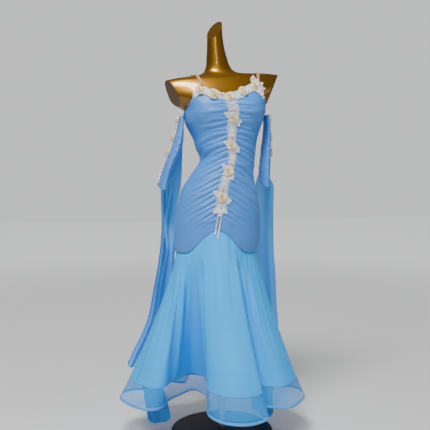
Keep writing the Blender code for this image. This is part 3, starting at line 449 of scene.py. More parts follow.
def add_piece(name, mesh, material):
    mesh.materials.clear()
    mesh.materials.append(material)
    piece = bpy.data.objects.new(name, mesh)
    collection.objects.link(piece)
    return piece


def cloth(name, node, grid, material, thick, closed=False, values=None, grow=1):
    """A sheet in place of a CAD node. Its wall grows outwards (1) or inwards (-1) from its grid."""
    piece = add_piece(name, grid_mesh(name, grid, closed, values), material)
    wall = piece.modifiers.new("Cloth", "SOLIDIFY")
    wall.thickness = thick
    wall.offset = grow
    wall.use_rim = True
    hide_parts(node)
    return piece


# %% [markdown]
# Materials. Three effects are used by more than one material, so each is a node group. One is a
# soft uneven tint, one is a weave of crossing threads, and one is a knit's fine ribs. The groups
# give colours and heights only. The shader, with its roughness and sheen, stays in each material.

# %% Shared effects


def new_group(name, inputs, outputs, kind="ShaderNodeTree"):
    """A node group, with the sockets inside it that bring its inputs and take its outputs."""
    group = bpy.data.node_groups.new(name, kind)
    for socket, sort, value in inputs:
        made = group.interface.new_socket(socket, in_out="INPUT", socket_type=sort)
        if value is not None:
            made.default_value = value
    for socket, sort in outputs:
        group.interface.new_socket(socket, in_out="OUTPUT", socket_type=sort)
    return group, group.nodes.new("NodeGroupInput").outputs, group.nodes.new("NodeGroupOutput").inputs


def noise_value(tree, scale, detail=2):
    """Noise fixed to the object."""
    where = new_node(tree, "ShaderNodeTexCoord").outputs["Object"]
    noise = new_node(tree, "ShaderNodeTexNoise", ("Vector", where), ("Scale", scale), ("Detail", detail))
    return noise.outputs["Fac"]


def thread_map(tree):
    return new_node(tree, "ShaderNodeUVMap", uv_map="threads").outputs["UV"]


def wave(tree, value, turn):
    return math_node(tree, "SINE", math_node(tree, "MULTIPLY", value, turn))


def make_uneven_tint():
    """Mixes two colours by a slow, cloudy pattern, as dye and handling leave them."""
    group, inside, outside = new_group(
        "uneven_tint",
        (("Colour", "NodeSocketColor", (0.5, 0.5, 0.5, 1)), ("Shade", "NodeSocketColor", (0.4, 0.4, 0.4, 1)),
         ("Scale", "NodeSocketFloat", 9.0), ("Amount", "NodeSocketFloat", 0.5)),
        (("Colour", "NodeSocketColor"), ("Cloud", "NodeSocketFloat")))
    cloud = new_node(group, "ShaderNodeMapRange", ("Value", noise_value(group, inside["Scale"], 3)),
                     ("From Min", 0.32), ("From Max", 0.68)).outputs["Result"]
    factor = math_node(group, "MULTIPLY", cloud, inside["Amount"])
    wire(group, mix_colour(group, factor, inside["Colour"], inside["Shade"]), outside["Colour"])
    wire(group, cloud, outside["Cloud"])
    return group


def make_crossed_threads():
    """Warp and weft over the UV map, with the threads of one set a little heavier."""
    group, inside, outside = new_group(
        "crossed_threads",
        (("Threads per metre", "NodeSocketFloat", 1500.0), ("Slubs", "NodeSocketFloat", 0.3)),
        (("Height", "NodeSocketFloat"), ("Thread", "NodeSocketFloat")))
    where = thread_map(group)
    counted = new_node(group, "ShaderNodeVectorMath", (0, where), ("Scale", inside["Threads per metre"]),
                       operation="SCALE")
    parts = new_node(group, "ShaderNodeSeparateXYZ", (0, counted.outputs[0])).outputs
    top = math_node(group, "MAXIMUM", wave(group, parts["X"], 2 * pi), wave(group, parts["Y"], 2 * pi))
    slub = new_node(group, "ShaderNodeTexNoise", ("Vector", where), ("Scale", 60)).outputs["Fac"]
    slubs = math_node(group, "MULTIPLY", slub, inside["Slubs"])
    wire(group, math_node(group, "MULTIPLY_ADD", top, 0.5, slubs), outside["Height"])
    wire(group, math_node(group, "MULTIPLY_ADD", top, 0.5, 0.5), outside["Thread"])
    return group


def make_knit():
    """Fine upright ribs of a stretch jersey, with loops along them and a little fuzz."""
    group, inside, outside = new_group(
        "jersey_knit", (("Ribs per metre", "NodeSocketFloat", 1400.0), ("Fuzz", "NodeSocketFloat", 0.4)),
        (("Height", "NodeSocketFloat"),))
    where = thread_map(group)
    parts = new_node(group, "ShaderNodeSeparateXYZ", (0, where)).outputs
    ribs, loops = [math_node(group, "MULTIPLY", parts[axis], inside["Ribs per metre"]) for axis in "XY"]
    rib = math_node(group, "ABSOLUTE", wave(group, ribs, pi))
    height = math_node(group, "MULTIPLY_ADD", wave(group, loops, 2 * pi), 0.25, rib)
    fuzz = new_node(group, "ShaderNodeTexNoise", ("Vector", where), ("Scale", 900), ("Detail", 2))
    rough = math_node(group, "MULTIPLY", fuzz.outputs["Fac"], inside["Fuzz"])
    wire(group, math_node(group, "ADD", height, rough), outside["Height"])
    return group


uneven_tint = make_uneven_tint()
crossed_threads = make_crossed_threads()
jersey_knit = make_knit()
print("shared effects:", [group.name for group in bpy.data.node_groups if group.type == "SHADER"])

# %% [markdown]
# A finish starts as a Principled shader with its plain numbers set on its own sockets. Groups are
# then placed in it with this finish's values, and feed its colour, its roughness and its bump.

# %% Building a finish


def place(tree, group, **values):
    """A shared effect in this tree, with some of its inputs set."""
    named = [(socket.replace("_", " "), value) for socket, value in values.items()]
    return new_node(tree, "ShaderNodeGroup", *named, node_tree=group)


def bump(tree, shader, height, strength, distance):
    node = new_node(tree, "ShaderNodeBump", ("Height", height), ("Strength", strength),
                    ("Distance", distance))
    wire(tree, node.outputs["Normal"], shader.inputs["Normal"])


def tinted(tree, shader, colour, shade, scale, amount):
    """Uneven colour on the shader, and the clouds that make it."""
    node = place(tree, uneven_tint, Colour=(*colour, 1), Shade=(*shade, 1), Scale=scale, Amount=amount)
    wire(tree, node.outputs["Colour"], shader.inputs["Base Color"])
    return node.outputs["Cloud"]


def clouded(tree, shader, cloud, amount, roughness):
    """Roughness that follows the clouds of the colour."""
    wire(tree, math_node(tree, "MULTIPLY_ADD", cloud, amount, roughness), shader.inputs["Roughness"])


def jersey_finish():
    """Stretch jersey: a soft sheen over fine ribs."""
    material, tree, shader = new_finish("blue stretch jersey", 0.52, Sheen_Weight=0.12, Sheen_Roughness=0.4,
                                        Sheen_Tint=(0.75, 0.85, 1.0, 1))
    cloud = tinted(tree, shader, (0.052, 0.235, 0.640), (0.038, 0.192, 0.570), 14, 0.6)
    bump(tree, shader, place(tree, jersey_knit).outputs["Height"], 0.35, 0.0002)
    clouded(tree, shader, cloud, 0.10, 0.38)
    return material


def point_value(tree, name):
    """A value that the mesh carries at each point."""
    return new_node(tree, "ShaderNodeAttribute", attribute_name=name).outputs["Fac"]


def layered_finish(name, colour, shade, threads, roughness, see_through=None, band=None):
    """Woven sheer cloth. A point value may thin it out to see-through, and darken it in a band."""
    material, tree, shader = new_finish(name, roughness, Sheen_Weight=0.02, Specular_IOR_Level=0.12)
    tint = place(tree, uneven_tint, Colour=(*colour, 1), Shade=(*shade, 1), Scale=7, Amount=0.6)
    weave = place(tree, crossed_threads, Threads_per_metre=threads).outputs
    output = tint.outputs["Colour"]
    if band:
        line = math_node(tree, "MULTIPLY", point_value(tree, "line"), band[1])
        output = mix_colour(tree, line, output, band[0])
    wire(tree, output, shader.inputs["Base Color"])
    bump(tree, shader, weave["Height"], 0.3, 0.0002)
    if see_through:
        low, high = see_through
        thread = math_node(tree, "MULTIPLY_ADD", weave["Thread"], 0.10, -0.05)
        span = math_node(tree, "MULTIPLY_ADD", point_value(tree, "cover"), high - low, low)
        wire(tree, math_node(tree, "ADD", span, thread), shader.inputs["Alpha"])
    return material


jersey = jersey_finish()
organza = layered_finish("blue organza", (0.014, 0.445, 1.000), (0.010, 0.395, 0.980), 1300, 0.50,
                         see_through=(0.36, 0.97), band=((0.05, 0.27, 0.72), 0.7))
underlayer = layered_finish("blue underlayer", (0.020, 0.380, 0.960), (0.014, 0.330, 0.920), 1100, 0.60,
                            see_through=(0.60, 1.05), band=((0.05, 0.25, 0.68), 0.6))
chiffon = layered_finish("blue chiffon", (0.105, 0.470, 0.960), (0.085, 0.420, 0.920), 1500, 0.60,
                         see_through=(0.86, 1.04), band=((0.05, 0.30, 0.76), 0.6))
satin = layered_finish("blue bound edge", (0.075, 0.330, 0.800), (0.060, 0.290, 0.750), 900, 0.34)
print("cloth finishes ready")

# %% [markdown]
# Trim finishes. The elastic is skin-coloured with ribs, the lace is matte white thread, the tulle is
# cream and lets some light through, and the ribbon is coral satin. The stones are clear glass.

# %% Trim finishes


def thread_finish(name, colour, shade, roughness, grain, strength, **inputs):
    """Small trim of thread or ribbon: uneven colour and a fine thread-like bump."""
    material, tree, shader = new_finish(name, roughness, **inputs)
    tinted(tree, shader, colour, shade, grain, 1.0)
    bump(tree, shader, noise_value(tree, 1600), strength, 0.0004)
    return material


def elastic_finish():
    material, tree, shader = new_finish("nude elastic", 0.55, Sheen_Weight=0.2)
    tinted(tree, shader, (0.42, 0.23, 0.095), (0.35, 0.18, 0.075), 30, 0.7)
    weave = place(tree, crossed_threads, Threads_per_metre=700.0, Slubs=0.2)
    bump(tree, shader, weave.outputs["Height"], 0.5, 0.0003)
    return material


def stone_finish():
    """Cut glass: clear, with a mirrored back that the facets catch."""
    material, tree, shader = new_finish("clear stone", 0.06, Metallic=0.25, Coat_Weight=1.0)
    tinted(tree, shader, (0.95, 0.96, 0.98), (0.72, 0.77, 0.84), 420, 0.9)
    return material


elastic = elastic_finish()
lace = thread_finish("white lace thread", (0.92, 0.92, 0.91), (0.84, 0.84, 0.82), 0.75, 60, 0.5,
                     Sheen_Weight=0.2)
tulle = thread_finish("cream tulle", (0.86, 0.76, 0.50), (0.78, 0.64, 0.36), 0.70, 90, 0.4, Sheen_Weight=0.3,
                      Subsurface_Weight=0.15)
ribbon = thread_finish("coral ribbon", (0.92, 0.42, 0.28), (0.84, 0.28, 0.18), 0.42, 160, 0.2,
                       Sheen_Weight=0.2)
leaf_ribbon = thread_finish("olive ribbon", (0.22, 0.20, 0.06), (0.12, 0.11, 0.04), 0.5, 160, 0.3)
stitch_thread = thread_finish("blue thread", (0.12, 0.33, 0.72), (0.09, 0.27, 0.64), 0.5, 300, 0.3)
stone = stone_finish()
silver = thread_finish("silver cup", (0.86, 0.86, 0.87), (0.70, 0.70, 0.72), 0.28, 500, 0.1,
                       Metallic=1.0)
print("trim finishes ready")

# %% [markdown]
# The form is moulded plastic under gold lacquer: a dark bronze body colour, fine metal flakes and a
# clear glossy coat. The flat cuts at the arms and the neck have the same coat.

# %% Form and stand finishes


def lacquer_finish():
    material, tree, shader = new_finish("gold lacquer", 0.34, Metallic=0.80, Coat_Weight=0.6,
                                        Coat_Roughness=0.03)
    cloud = tinted(tree, shader, (0.240, 0.112, 0.001), (0.140, 0.060, 0.001), 5, 0.7)
    where = new_node(tree, "ShaderNodeTexCoord").outputs["Object"]
    flakes = new_node(tree, "ShaderNodeTexVoronoi", ("Vector", where), ("Scale", 1800)).outputs["Distance"]
    clouded(tree, shader, cloud, 0.04, math_node(tree, "MULTIPLY_ADD", flakes, 0.10, 0.28))
    bump(tree, shader, flakes, 0.06, 0.0002)
    return material


def speckled_finish(name, colour, shade, roughness, grain, strength, **inputs):
    """Paint or metal with a fine grain in its colour and its surface."""
    material, tree, shader = new_finish(name, roughness, **inputs)
    cloud = tinted(tree, shader, colour, shade, grain, 0.8)
    bump(tree, shader, noise_value(tree, grain * 12), strength, 0.0004)
    clouded(tree, shader, cloud, 0.08, roughness - 0.04)
    return material


gold = lacquer_finish()
black_paint = speckled_finish("black paint", (0.003, 0.003, 0.004), (0.007, 0.007, 0.008), 0.42, 22, 0.12)
steel = speckled_finish("brushed steel", (0.42, 0.42, 0.43), (0.34, 0.34, 0.35), 0.36, 40, 0.1, Metallic=1.0)
print("form and stand finishes ready")

# %% [markdown]
# The form is a loft: a ring of points at each level, from the hips to the neck. Planes then cut the
# arms and the neck off flat, and a small bevel round each cut catches the light.

# %% The form
FORM_SIDES = 112
FORM_STEP = 0.0065
CLOSE_LEVELS = (1.335, 1.395)
CUT_BEVEL, CUT_ASIDE, CAP_CORNERS = 0.0090, 0.10, 12
CUTS = (
    # point on the plane, the way it faces, lowest level it may cut, side that it may cut
    ((-0.183, 0.0, 1.273), (-0.90, -0.14, -0.42), 1.215, -1),
    ((0.195, 0.0, 1.311), (0.90, -0.24, -0.36), 1.215, 1),
    ((-0.029, 0.0, 1.5280), (-0.593, -0.518, 0.616), 1.45, 0),
)


def form_levels():
    """Heights of the rings, three times as close where the shoulders turn into the neck."""
    plain = np.arange(FORM_ROWS[0][0], FORM_ROWS[-1][0], FORM_STEP)
    close = np.arange(*CLOSE_LEVELS, FORM_STEP / 3)
    return np.unique(np.round(np.concatenate([plain, close, [FORM_ROWS[-1][0]]]), 5))


def cut_flat(shape, point, facing, level, side):
    """Cuts one end off flat and closes it, and returns the new face."""
    near = [face for face in shape.faces
            if all(v.co.z > level and v.co.x * side >= (CUT_ASIDE if side else 0) for v in face.verts)]
    touched = dict.fromkeys(item for face in near for item in (face, *face.edges, *face.verts))
    result = bmesh.ops.bisect_plane(shape, geom=list(touched), plane_co=point, plane_no=facing,
                                    clear_outer=True)
    edges = [item for item in result["geom_cut"] if isinstance(item, bmesh.types.BMEdge)]
    made = bmesh.ops.contextual_create(shape, geom=edges)["faces"]
    return made[0]


def build_form():
    levels = form_levels()
    turns = np.linspace(0, 2 * pi, FORM_SIDES, endpoint=False)
    grid = body(turns[None, :], levels[:, None], bare=True)
    shape = bmesh.new()
    rings = [[shape.verts.new(point) for point in ring] for ring in grid]
    skin(shape, rings)
    shape.faces.new(list(reversed(rings[0])))
    shape.faces.new(rings[-1])
    caps = [cut_flat(shape, Vector(point), Vector(facing).normalized(), level, side)
            for point, facing, level, side in CUTS]
    edges = [edge for cap in caps for edge in cap.edges]
    bmesh.ops.bevel(shape, geom=edges, offset=CUT_BEVEL, segments=4, profile=0.5, affect="EDGES",
                    clamp_overlap=True, material=0)
    for face in shape.faces:
        face.smooth = len(face.verts) < CAP_CORNERS
    return add_piece("form_body", finished("form_body", shape, smooth=False), gold)


form = build_form()
print("form faces", len(form.data.polygons))

# %% [markdown]
# The stand is turned work: a disc with a rounded rim, a pole and a short socket under the form. Each
# has a profile of radius and height, spun round the upright axis.

# %% The stand
STAND_SIDES = 128
BASE_PROFILE = ((0.0, 0.018), (0.030, 0.0178), (0.060, 0.0170), (0.120, 0.0155), (0.188, 0.0140),
                (0.1916, 0.0134), (0.1942, 0.0118), (0.195, 0.0095), (0.195, 0.0012), (0.1938, 0.0),
                (0.0, 0.0))
POLE_PROFILE = ((0.0, 0.0183), (0.014, 0.0183), (0.014, 0.6174), (0.0, 0.6174))
SOCKET_PROFILE = ((0.0, 0.6177), (0.0252, 0.6177), (0.026, 0.6185), (0.026, 0.6468), (0.0252, 0.6477),
                  (0.0, 0.6477))


def turned(name, profile, material):
    """A closed turned shape, smooth but for its sharp rims."""
    shape = bmesh.new()
    skin(shape, spun_rings(shape, profile, STAND_SIDES))
    mesh = finished(name, shape)
    mesh.set_sharp_from_angle(angle=radians(50))
    return add_piece(name, mesh, material)


base = turned("base_disc", BASE_PROFILE, black_paint)
pole = turned("pole", POLE_PROFILE, steel)
socket = turned("socket", SOCKET_PROFILE, black_paint)
for piece, node, finish in ((form, "dress_form", "gold_lacquer"), (base, "stand_base", "black_paint"),
                            (pole, "stand_pole", "brushed_steel"), (socket, "stand_socket", "black_paint")):
    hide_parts(node)
    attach(piece, "root")

# %% [markdown]
# The bodice is gathered to the middle of the front. Each gather is a soft ridge that starts at the
# lace, falls outwards and dies away before the side seam. The bust has short level ones, the waist
# has long ones that reach the side, and the hips have steep ones. They are listed, a row each.
# Where two meet, the higher one wins, which leaves a sharp valley between round ridges.

# %% Ruching
RUCHES_LEFT = (
    # level at the lace, fall, bend, reach, half width, height
    (1.262, -0.06, 0.2, 0.070, 0.0055, 0.0016), (1.249, 0.00, 0.0, 0.115, 0.0066, 0.0026),
    (1.236, 0.02, 0.1, 0.070, 0.0048, 0.0016), (1.222, 0.04, 0.0, 0.125, 0.0078, 0.0030),
    (1.207, 0.07, 0.0, 0.080, 0.0050, 0.0018), (1.193, 0.09, 0.1, 0.120, 0.0070, 0.0028),
    (1.177, 0.13, 0.2, 0.150, 0.0082, 0.0034), (1.160, 0.18, 0.2, 0.100, 0.0056, 0.0024),
    (1.145, 0.22, 0.3, 0.180, 0.0086, 0.0040), (1.126, 0.27, 0.4, 0.140, 0.0064, 0.0028),
    (1.110, 0.31, 0.4, 0.215, 0.0090, 0.0048), (1.089, 0.34, 0.5, 0.160, 0.0060, 0.0030),
    (1.073, 0.36, 0.5, 0.240, 0.0096, 0.0056), (1.051, 0.38, 0.6, 0.190, 0.0066, 0.0034),
    (1.034, 0.40, 0.5, 0.240, 0.0100, 0.0058), (1.011, 0.41, 0.4, 0.170, 0.0064, 0.0034),
    (0.994, 0.43, 0.3, 0.235, 0.0098, 0.0058), (0.972, 0.44, 0.2, 0.225, 0.0078, 0.0042),
    (0.952, 0.46, 0.1, 0.180, 0.0092, 0.0052), (0.930, 0.47, 0.0, 0.210, 0.0074, 0.0040),
    (0.911, 0.49, -0.1, 0.165, 0.0094, 0.0054), (0.889, 0.50, -0.2, 0.180, 0.0070, 0.0036),
    (0.870, 0.52, -0.3, 0.130, 0.0088, 0.0046), (0.850, 0.50, -0.4, 0.120, 0.0066, 0.0034),
    (0.833, 0.46, -0.5, 0.080, 0.0070, 0.0028),
)
RUCHES_RIGHT = (
    (1.258, -0.04, 0.1, 0.080, 0.0058, 0.0018), (1.243, 0.01, 0.1, 0.120, 0.0072, 0.0030),
    (1.228, 0.03, 0.0, 0.075, 0.0050, 0.0018), (1.214, 0.05, 0.0, 0.125, 0.0076, 0.0032),
    (1.197, 0.08, 0.1, 0.085, 0.0052, 0.0020), (1.183, 0.12, 0.1, 0.140, 0.0082, 0.0034),
    (1.165, 0.16, 0.2, 0.105, 0.0056, 0.0024), (1.150, 0.21, 0.3, 0.170, 0.0084, 0.0040),
    (1.131, 0.26, 0.3, 0.130, 0.0060, 0.0026), (1.115, 0.30, 0.4, 0.200, 0.0090, 0.0048),
    (1.095, 0.34, 0.5, 0.150, 0.0062, 0.0030), (1.078, 0.37, 0.6, 0.230, 0.0094, 0.0054),
    (1.057, 0.39, 0.6, 0.180, 0.0064, 0.0032), (1.041, 0.41, 0.6, 0.235, 0.0096, 0.0056),
    (1.019, 0.43, 0.5, 0.190, 0.0070, 0.0038), (1.001, 0.44, 0.4, 0.230, 0.0098, 0.0058),
    (0.979, 0.45, 0.3, 0.160, 0.0066, 0.0034), (0.962, 0.47, 0.2, 0.215, 0.0094, 0.0056),
    (0.939, 0.49, 0.1, 0.200, 0.0074, 0.0040), (0.920, 0.51, 0.0, 0.170, 0.0092, 0.0054),
    (0.898, 0.53, -0.1, 0.180, 0.0070, 0.0036), (0.880, 0.54, -0.2, 0.140, 0.0088, 0.0048),
    (0.859, 0.53, -0.3, 0.125, 0.0064, 0.0034), (0.841, 0.49, -0.4, 0.090, 0.0072, 0.0030),
)
RUCHE_WANDER = ((0.0020, 44, 2.3), (0.0010, 97, 4.1))
RUCHE_START, RUCHE_FULL = 0.003, 0.016
RUCHE_CAP, LACE_CAP, LACE_EDGE = 0.0058, 0.0024, 0.016
RUCHE_BLEND = 5


def ruche_height(rows, out, z):
    """How far the gathers stand up, by the distance out from the lace and the height."""
    total = np.zeros_like(z)
    for index, (level, fall, bend, reach, half, height) in enumerate(rows):
        wander = sum(size * np.sin(out * rate + index * shift) for size, rate, shift in RUCHE_WANDER)
        middle = level - fall * out - bend * out ** 2 + wander
        wide = half * (0.85 + 3.2 * out)
        offset = (z - middle) / np.where(z > middle, wide * 1.15, wide * 0.85)
        fade = ease(out, RUCHE_START, RUCHE_FULL) * (1 - ease(out, reach * 0.50, reach))
        total += (height * fade * np.clip(1 - offset ** 2, 0, None) ** 0.8) ** RUCHE_BLEND
    total = total ** (1 / RUCHE_BLEND)
    cap = LACE_CAP + (RUCHE_CAP - LACE_CAP) * ease(out, LACE_EDGE, LACE_EDGE + 0.014)
    return cap * np.tanh(total / cap)


# %% [markdown]
# Each front panel is one cut of jersey from the lace to the side seam. Its lowest centimetre is
# turned under and topstitched over the skirt, which leaves a raised band with a sunk seam line.

# %% Bodice panels
PANEL_COLUMNS, PANEL_LEVELS = 88, 260
JERSEY_THICK, JERSEY_LIFT = 0.0011, 0.0006
BAND_TALL, BAND_LIFT, BAND_SOFT = 0.011, 0.0007, 0.001
SEAM_DROP, SEAM_HALF, SEAM_SINK = 0.002, 0.0009, 0.0006
BACK_REACH = 0.9968
BACK_CREASES = (
    # level, lean, bow, half width, height
    (1.104, 0.010, -0.022, 0.008, 0.0024), (1.070, -0.012, -0.016, 0.007, 0.0036),
    (1.044, 0.016, -0.010, 0.008, 0.0034), (1.014, -0.010, 0.012, 0.008, 0.0038),
    (0.984, 0.014, 0.022, 0.009, 0.0026), (0.948, -0.012, 0.030, 0.010, 0.0018),
)


def hem_band(z, lower):
    """The raised band above a lower edge, and the sunk line of stitches on top of it."""
    above = z - lower
    lifted = BAND_LIFT * (1 - ease(above, BAND_TALL - BAND_SOFT, BAND_TALL + BAND_SOFT))
    return lifted - SEAM_SINK * np.exp(-((above - BAND_TALL + SEAM_DROP) / SEAM_HALF) ** 2)


def front_panel(name, node, sign, side, ruches):
    shares = np.linspace(0, 1, PANEL_COLUMNS)
    turn = sign * (side * shares * PANEL_REACH + PANEL_START)
    downs = np.linspace(0, 1, PANEL_LEVELS)
    angle, z = panel_level(turn[None, :], downs[:, None])
    plain = body(angle, z, EASE)
    out = np.cumsum(np.linalg.norm(np.diff(plain, axis=1, prepend=plain[:, :1]), axis=-1), axis=1)
    lower = seam_height(angle[-1])[None, :]
    soft = 0.0005 * np.sin(z * 61 + out * 23) * ease(out, 0.03, 0.08)
    height = ruche_height(ruches, out, z) * ease(z - lower, 0.012, 0.030)
    height = height * (1 - 0.5 * ease(shares[None, :], 0.94, 1.0)) + JERSEY_LIFT + soft + hem_band(z, lower)
    grid = body(angle, z, EASE + np.maximum(height, 0.0001))
    if sign < 0:
        grid = grid[:, ::-1]
    return cloth(name, node, grid, jersey, JERSEY_THICK), grid


def back_panel():
    """The back is plain and smooth, with slack creases across the small of the back."""
    shares = np.linspace(1 - BACK_REACH, BACK_REACH, PANEL_COLUMNS)
    turn = SIDE_RIGHT + (2 * pi - SIDE_LEFT - SIDE_RIGHT) * shares
    downs = np.linspace(0, 1, PANEL_LEVELS // 2)
    angle, z = panel_level(turn[None, :], downs[:, None])
    lower = seam_height(angle[-1])[None, :]
    across = (shares[None, :] - 0.5) * 2
    creases = np.zeros_like(z)
    for level, lean, bow, wide, tall in BACK_CREASES:
        middle = level + lean * across + bow * across ** 2
        creases += tall * np.exp(-((z - middle) / wide) ** 2) * (1 - ease(np.abs(across), 0.55, 1.0))
    grid = body(angle, z, EASE + JERSEY_LIFT + creases + hem_band(z, lower))
    return cloth("bodice_back_cloth", "bodice_back", grid, jersey, JERSEY_THICK), grid


front_left, left_grid = front_panel("bodice_left_cloth", "bodice_front_left", -1, SIDE_LEFT, RUCHES_LEFT)
front_right, right_grid = front_panel("bodice_right_cloth", "bodice_front_right", 1, SIDE_RIGHT,
                                      RUCHES_RIGHT)
back, back_grid = back_panel()
print("gathers:", len(RUCHES_LEFT), "left,", len(RUCHES_RIGHT), "right")

# %% [markdown]
# The skirt has an outer layer of sheer organza over an opaque underlayer that ends a hand's width
# above the hem, so the hem is see-through. Both are cut in flutes, and the deep curve of each flute
# is the hem's table. Fine gathers start at the hip seam and smooth out below it. Long slack ripples
# run down the flutes. The stiff band in the hem has a stitched line along its top.

# %% Skirt layers
SKIRT_SHARP = 0.98
OUTER_LEVELS, UNDER_LEVELS = 104, 76
OUTER_STEP = 0.9
UNDER_START, UNDER_END = 0.03, 0.862
UNDER_BAND = 0.745
ORGANZA_THICK = 0.0008
LINE_HALF, END_HALF, STEP_HALF = 0.0032, 0.006, 0.004
SKIRT_SEAM_LEFT = float(np.degrees(KNOTS[0, 0]))
SKIRT_SEAM_RIGHT = 84.0
SIDE_GAP, FRONT_UNDER_GAP, BACK_UNDER_GAP = 0.05, 0.5, 0.75
RIPPLES = (
    # degrees round the hips, half width in degrees, height, where it starts and ends
    (-96, 3.0, 0.004, 0.05, 0.80), (-84, 2.4, -0.003, 0.10, 0.90), (-74, 3.0, 0.006, 0.06, 0.85),
    (-66, 1.8, -0.003, 0.10, 0.80), (-57, 4.5, 0.013, 0.08, 1.00), (-51, 1.8, -0.005, 0.03, 0.60),
    (-45, 1.8, 0.003, 0.03, 0.60), (-38, 1.8, -0.004, 0.05, 0.60), (-30, 3.2, -0.013, 0.02, 1.30),
    (-24, 2.2, 0.004, 0.03, 0.70), (-14, 1.8, -0.003, 0.08, 0.70), (-6, 3.0, 0.003, 0.05, 0.65),
    (3, 2.0, -0.003, 0.05, 0.60), (12, 3.4, 0.008, 0.04, 1.30), (22, 3.6, -0.020, 0.02, 1.30),
    (26, 2.0, 0.003, 0.08, 0.70), (33, 1.8, -0.004, 0.05, 0.80), (40, 2.4, 0.005, 0.05, 0.85),
    (50, 2.0, -0.002, 0.10, 0.80), (62, 2.4, -0.002, 0.10, 0.75), (76, 2.8, 0.004, 0.05, 0.80),
    (90, 2.2, -0.003, 0.10, 0.75), (104, 2.4, 0.004, 0.08, 0.80), (117, 1.8, -0.003, 0.10, 0.80),
    (128, 2.4, 0.004, 0.05, 0.85), (141, 2.2, -0.003, 0.10, 0.75), (153, 2.0, 0.004, 0.05, 0.80),
    (166, 2.4, -0.003, 0.10, 0.80), (178, 2.4, 0.003, 0.05, 0.80), (191, 2.0, -0.003, 0.08, 0.80),
    (205, 2.4, 0.004, 0.05, 0.85), (218, 1.8, -0.003, 0.10, 0.75), (231, 2.2, 0.004, 0.05, 0.80),
    (243, 2.2, -0.003, 0.10, 0.80), (254, 2.4, 0.003, 0.05, 0.80),
)


def gathers(degrees, down):
    """Fine gathers below the seam, uneven in depth, that fade on their way down."""
    wave = (0.55 * np.sin(np.radians(degrees * 34 + 20 * np.sin(np.radians(degrees * 3))))
            + 0.45 * np.sin(np.radians(degrees * 21 + 50)))
    uneven = 0.6 + 0.4 * np.sin(np.radians(degrees * 5 + 30))
    return 0.0019 * (1 + wave) * uneven * ease(down, 0.0, 0.03) * (1 - ease(down, 0.06, 0.34))


def ripples(degrees, down):
    total = np.zeros(np.broadcast(degrees, down).shape)
    for place, half, height, start, end in RIPPLES:
        around = (degrees - place + 180) % 360 - 180
        level = ease(down, start, start + 0.22) * (1 - ease(down, end - 0.25, end))
        total += height * level * np.exp(-(around / half) ** 2)
    return total


def skirt_layer(degrees, downs, depth=0.0, fuller=0.0):
    degrees, downs = degrees[None, :], downs[:, None]
    plain = skirt_point(degrees, downs)
    normal = outward_normals(plain)
    height = gathers(degrees, downs) + ripples(degrees, downs) * ease(downs, 0.02, 0.2) + fuller
    return plain + normal * (height - depth)[..., None]


def line_at(downs, place, half):
    return np.exp(-((downs - place) / half) ** 2)


def step_at(downs, place):
    return ease(downs, place - STEP_HALF, place + STEP_HALF)


def spread_degrees(first, last):
    return np.linspace(first, last, int((last - first) / OUTER_STEP) + 1)


def outer_panel(name, node, first, last):
    degrees = spread_degrees(first, last)
    downs = np.linspace(0, SKIRT_SHARP, OUTER_LEVELS)
    grid = skirt_layer(degrees, downs, fuller=0.0003)
    cover = 1 - step_at(downs, UNDER_END)
    line = (line_at(downs, UNDER_END + 0.006, LINE_HALF) + 0.45 * line_at(downs, UNDER_BAND, LINE_HALF)
            + 0.12 * step_at(downs, UNDER_BAND))
    return cloth(name, node, grid, organza, ORGANZA_THICK,
                 values={"cover": cover[:, None], "line": line[:, None]})


def under_panel(name, node, first, last):
    degrees = spread_degrees(first, last)
    downs = np.linspace(UNDER_START, UNDER_END, UNDER_LEVELS)
    depth = (0.0012 + 0.0042 * ease(downs, UNDER_START, 0.5))[:, None]
    grid = skirt_layer(degrees, downs, depth=depth)
    cover = 1 - 0.35 * step_at(downs, UNDER_BAND)
    line = line_at(downs, UNDER_BAND, LINE_HALF) + line_at(downs, UNDER_END, END_HALF)
    return cloth(name, node, grid, underlayer, ORGANZA_THICK,
                 values={"cover": cover[:, None], "line": line[:, None]}, grow=-1)


skirt_front = outer_panel("skirt_front_organza", "skirt_front", SKIRT_SEAM_LEFT, SKIRT_SEAM_RIGHT)
skirt_back = outer_panel("skirt_back_organza", "skirt_back", SKIRT_SEAM_RIGHT + SIDE_GAP,
                         SKIRT_SEAM_LEFT + 360 - SIDE_GAP)
under_front = under_panel("underskirt_front_cloth", "underskirt_front", SKIRT_SEAM_LEFT + FRONT_UNDER_GAP,
                          SKIRT_SEAM_RIGHT - FRONT_UNDER_GAP)
under_back = under_panel("underskirt_back_cloth", "underskirt_back", SKIRT_SEAM_RIGHT + BACK_UNDER_GAP,
                         SKIRT_SEAM_LEFT + 360 - BACK_UNDER_GAP)
print("skirt hem round", round(float(np.linalg.norm(np.diff(
    skirt_point(np.arange(-180.0, 181), 1.0), axis=0), axis=-1).sum()), 2), "m")

# %% [markdown]
# The hem is bound with satin over a stiff cord of horsehair braid. A rounded section is carried
# round the hem's path, with its flat inner side against the organza.

# %% Hem binding
BINDING_TALL, BINDING_HALF = 0.0105, 0.0017
BINDING_SIDES = 12


def hem_ring():
    degrees = np.arange(-180.0, 180.0, 0.5)
    low, end = skirt_layer(degrees, np.array((SKIRT_SHARP, 1.0)))
    along = end - low
    along /= np.linalg.norm(along, axis=-1, keepdims=True)
    step = np.roll(low, -1, axis=0) - np.roll(low, 1, axis=0)
    out = np.cross(along, step)
    out /= np.linalg.norm(out, axis=-1, keepdims=True)
    return low, along, out


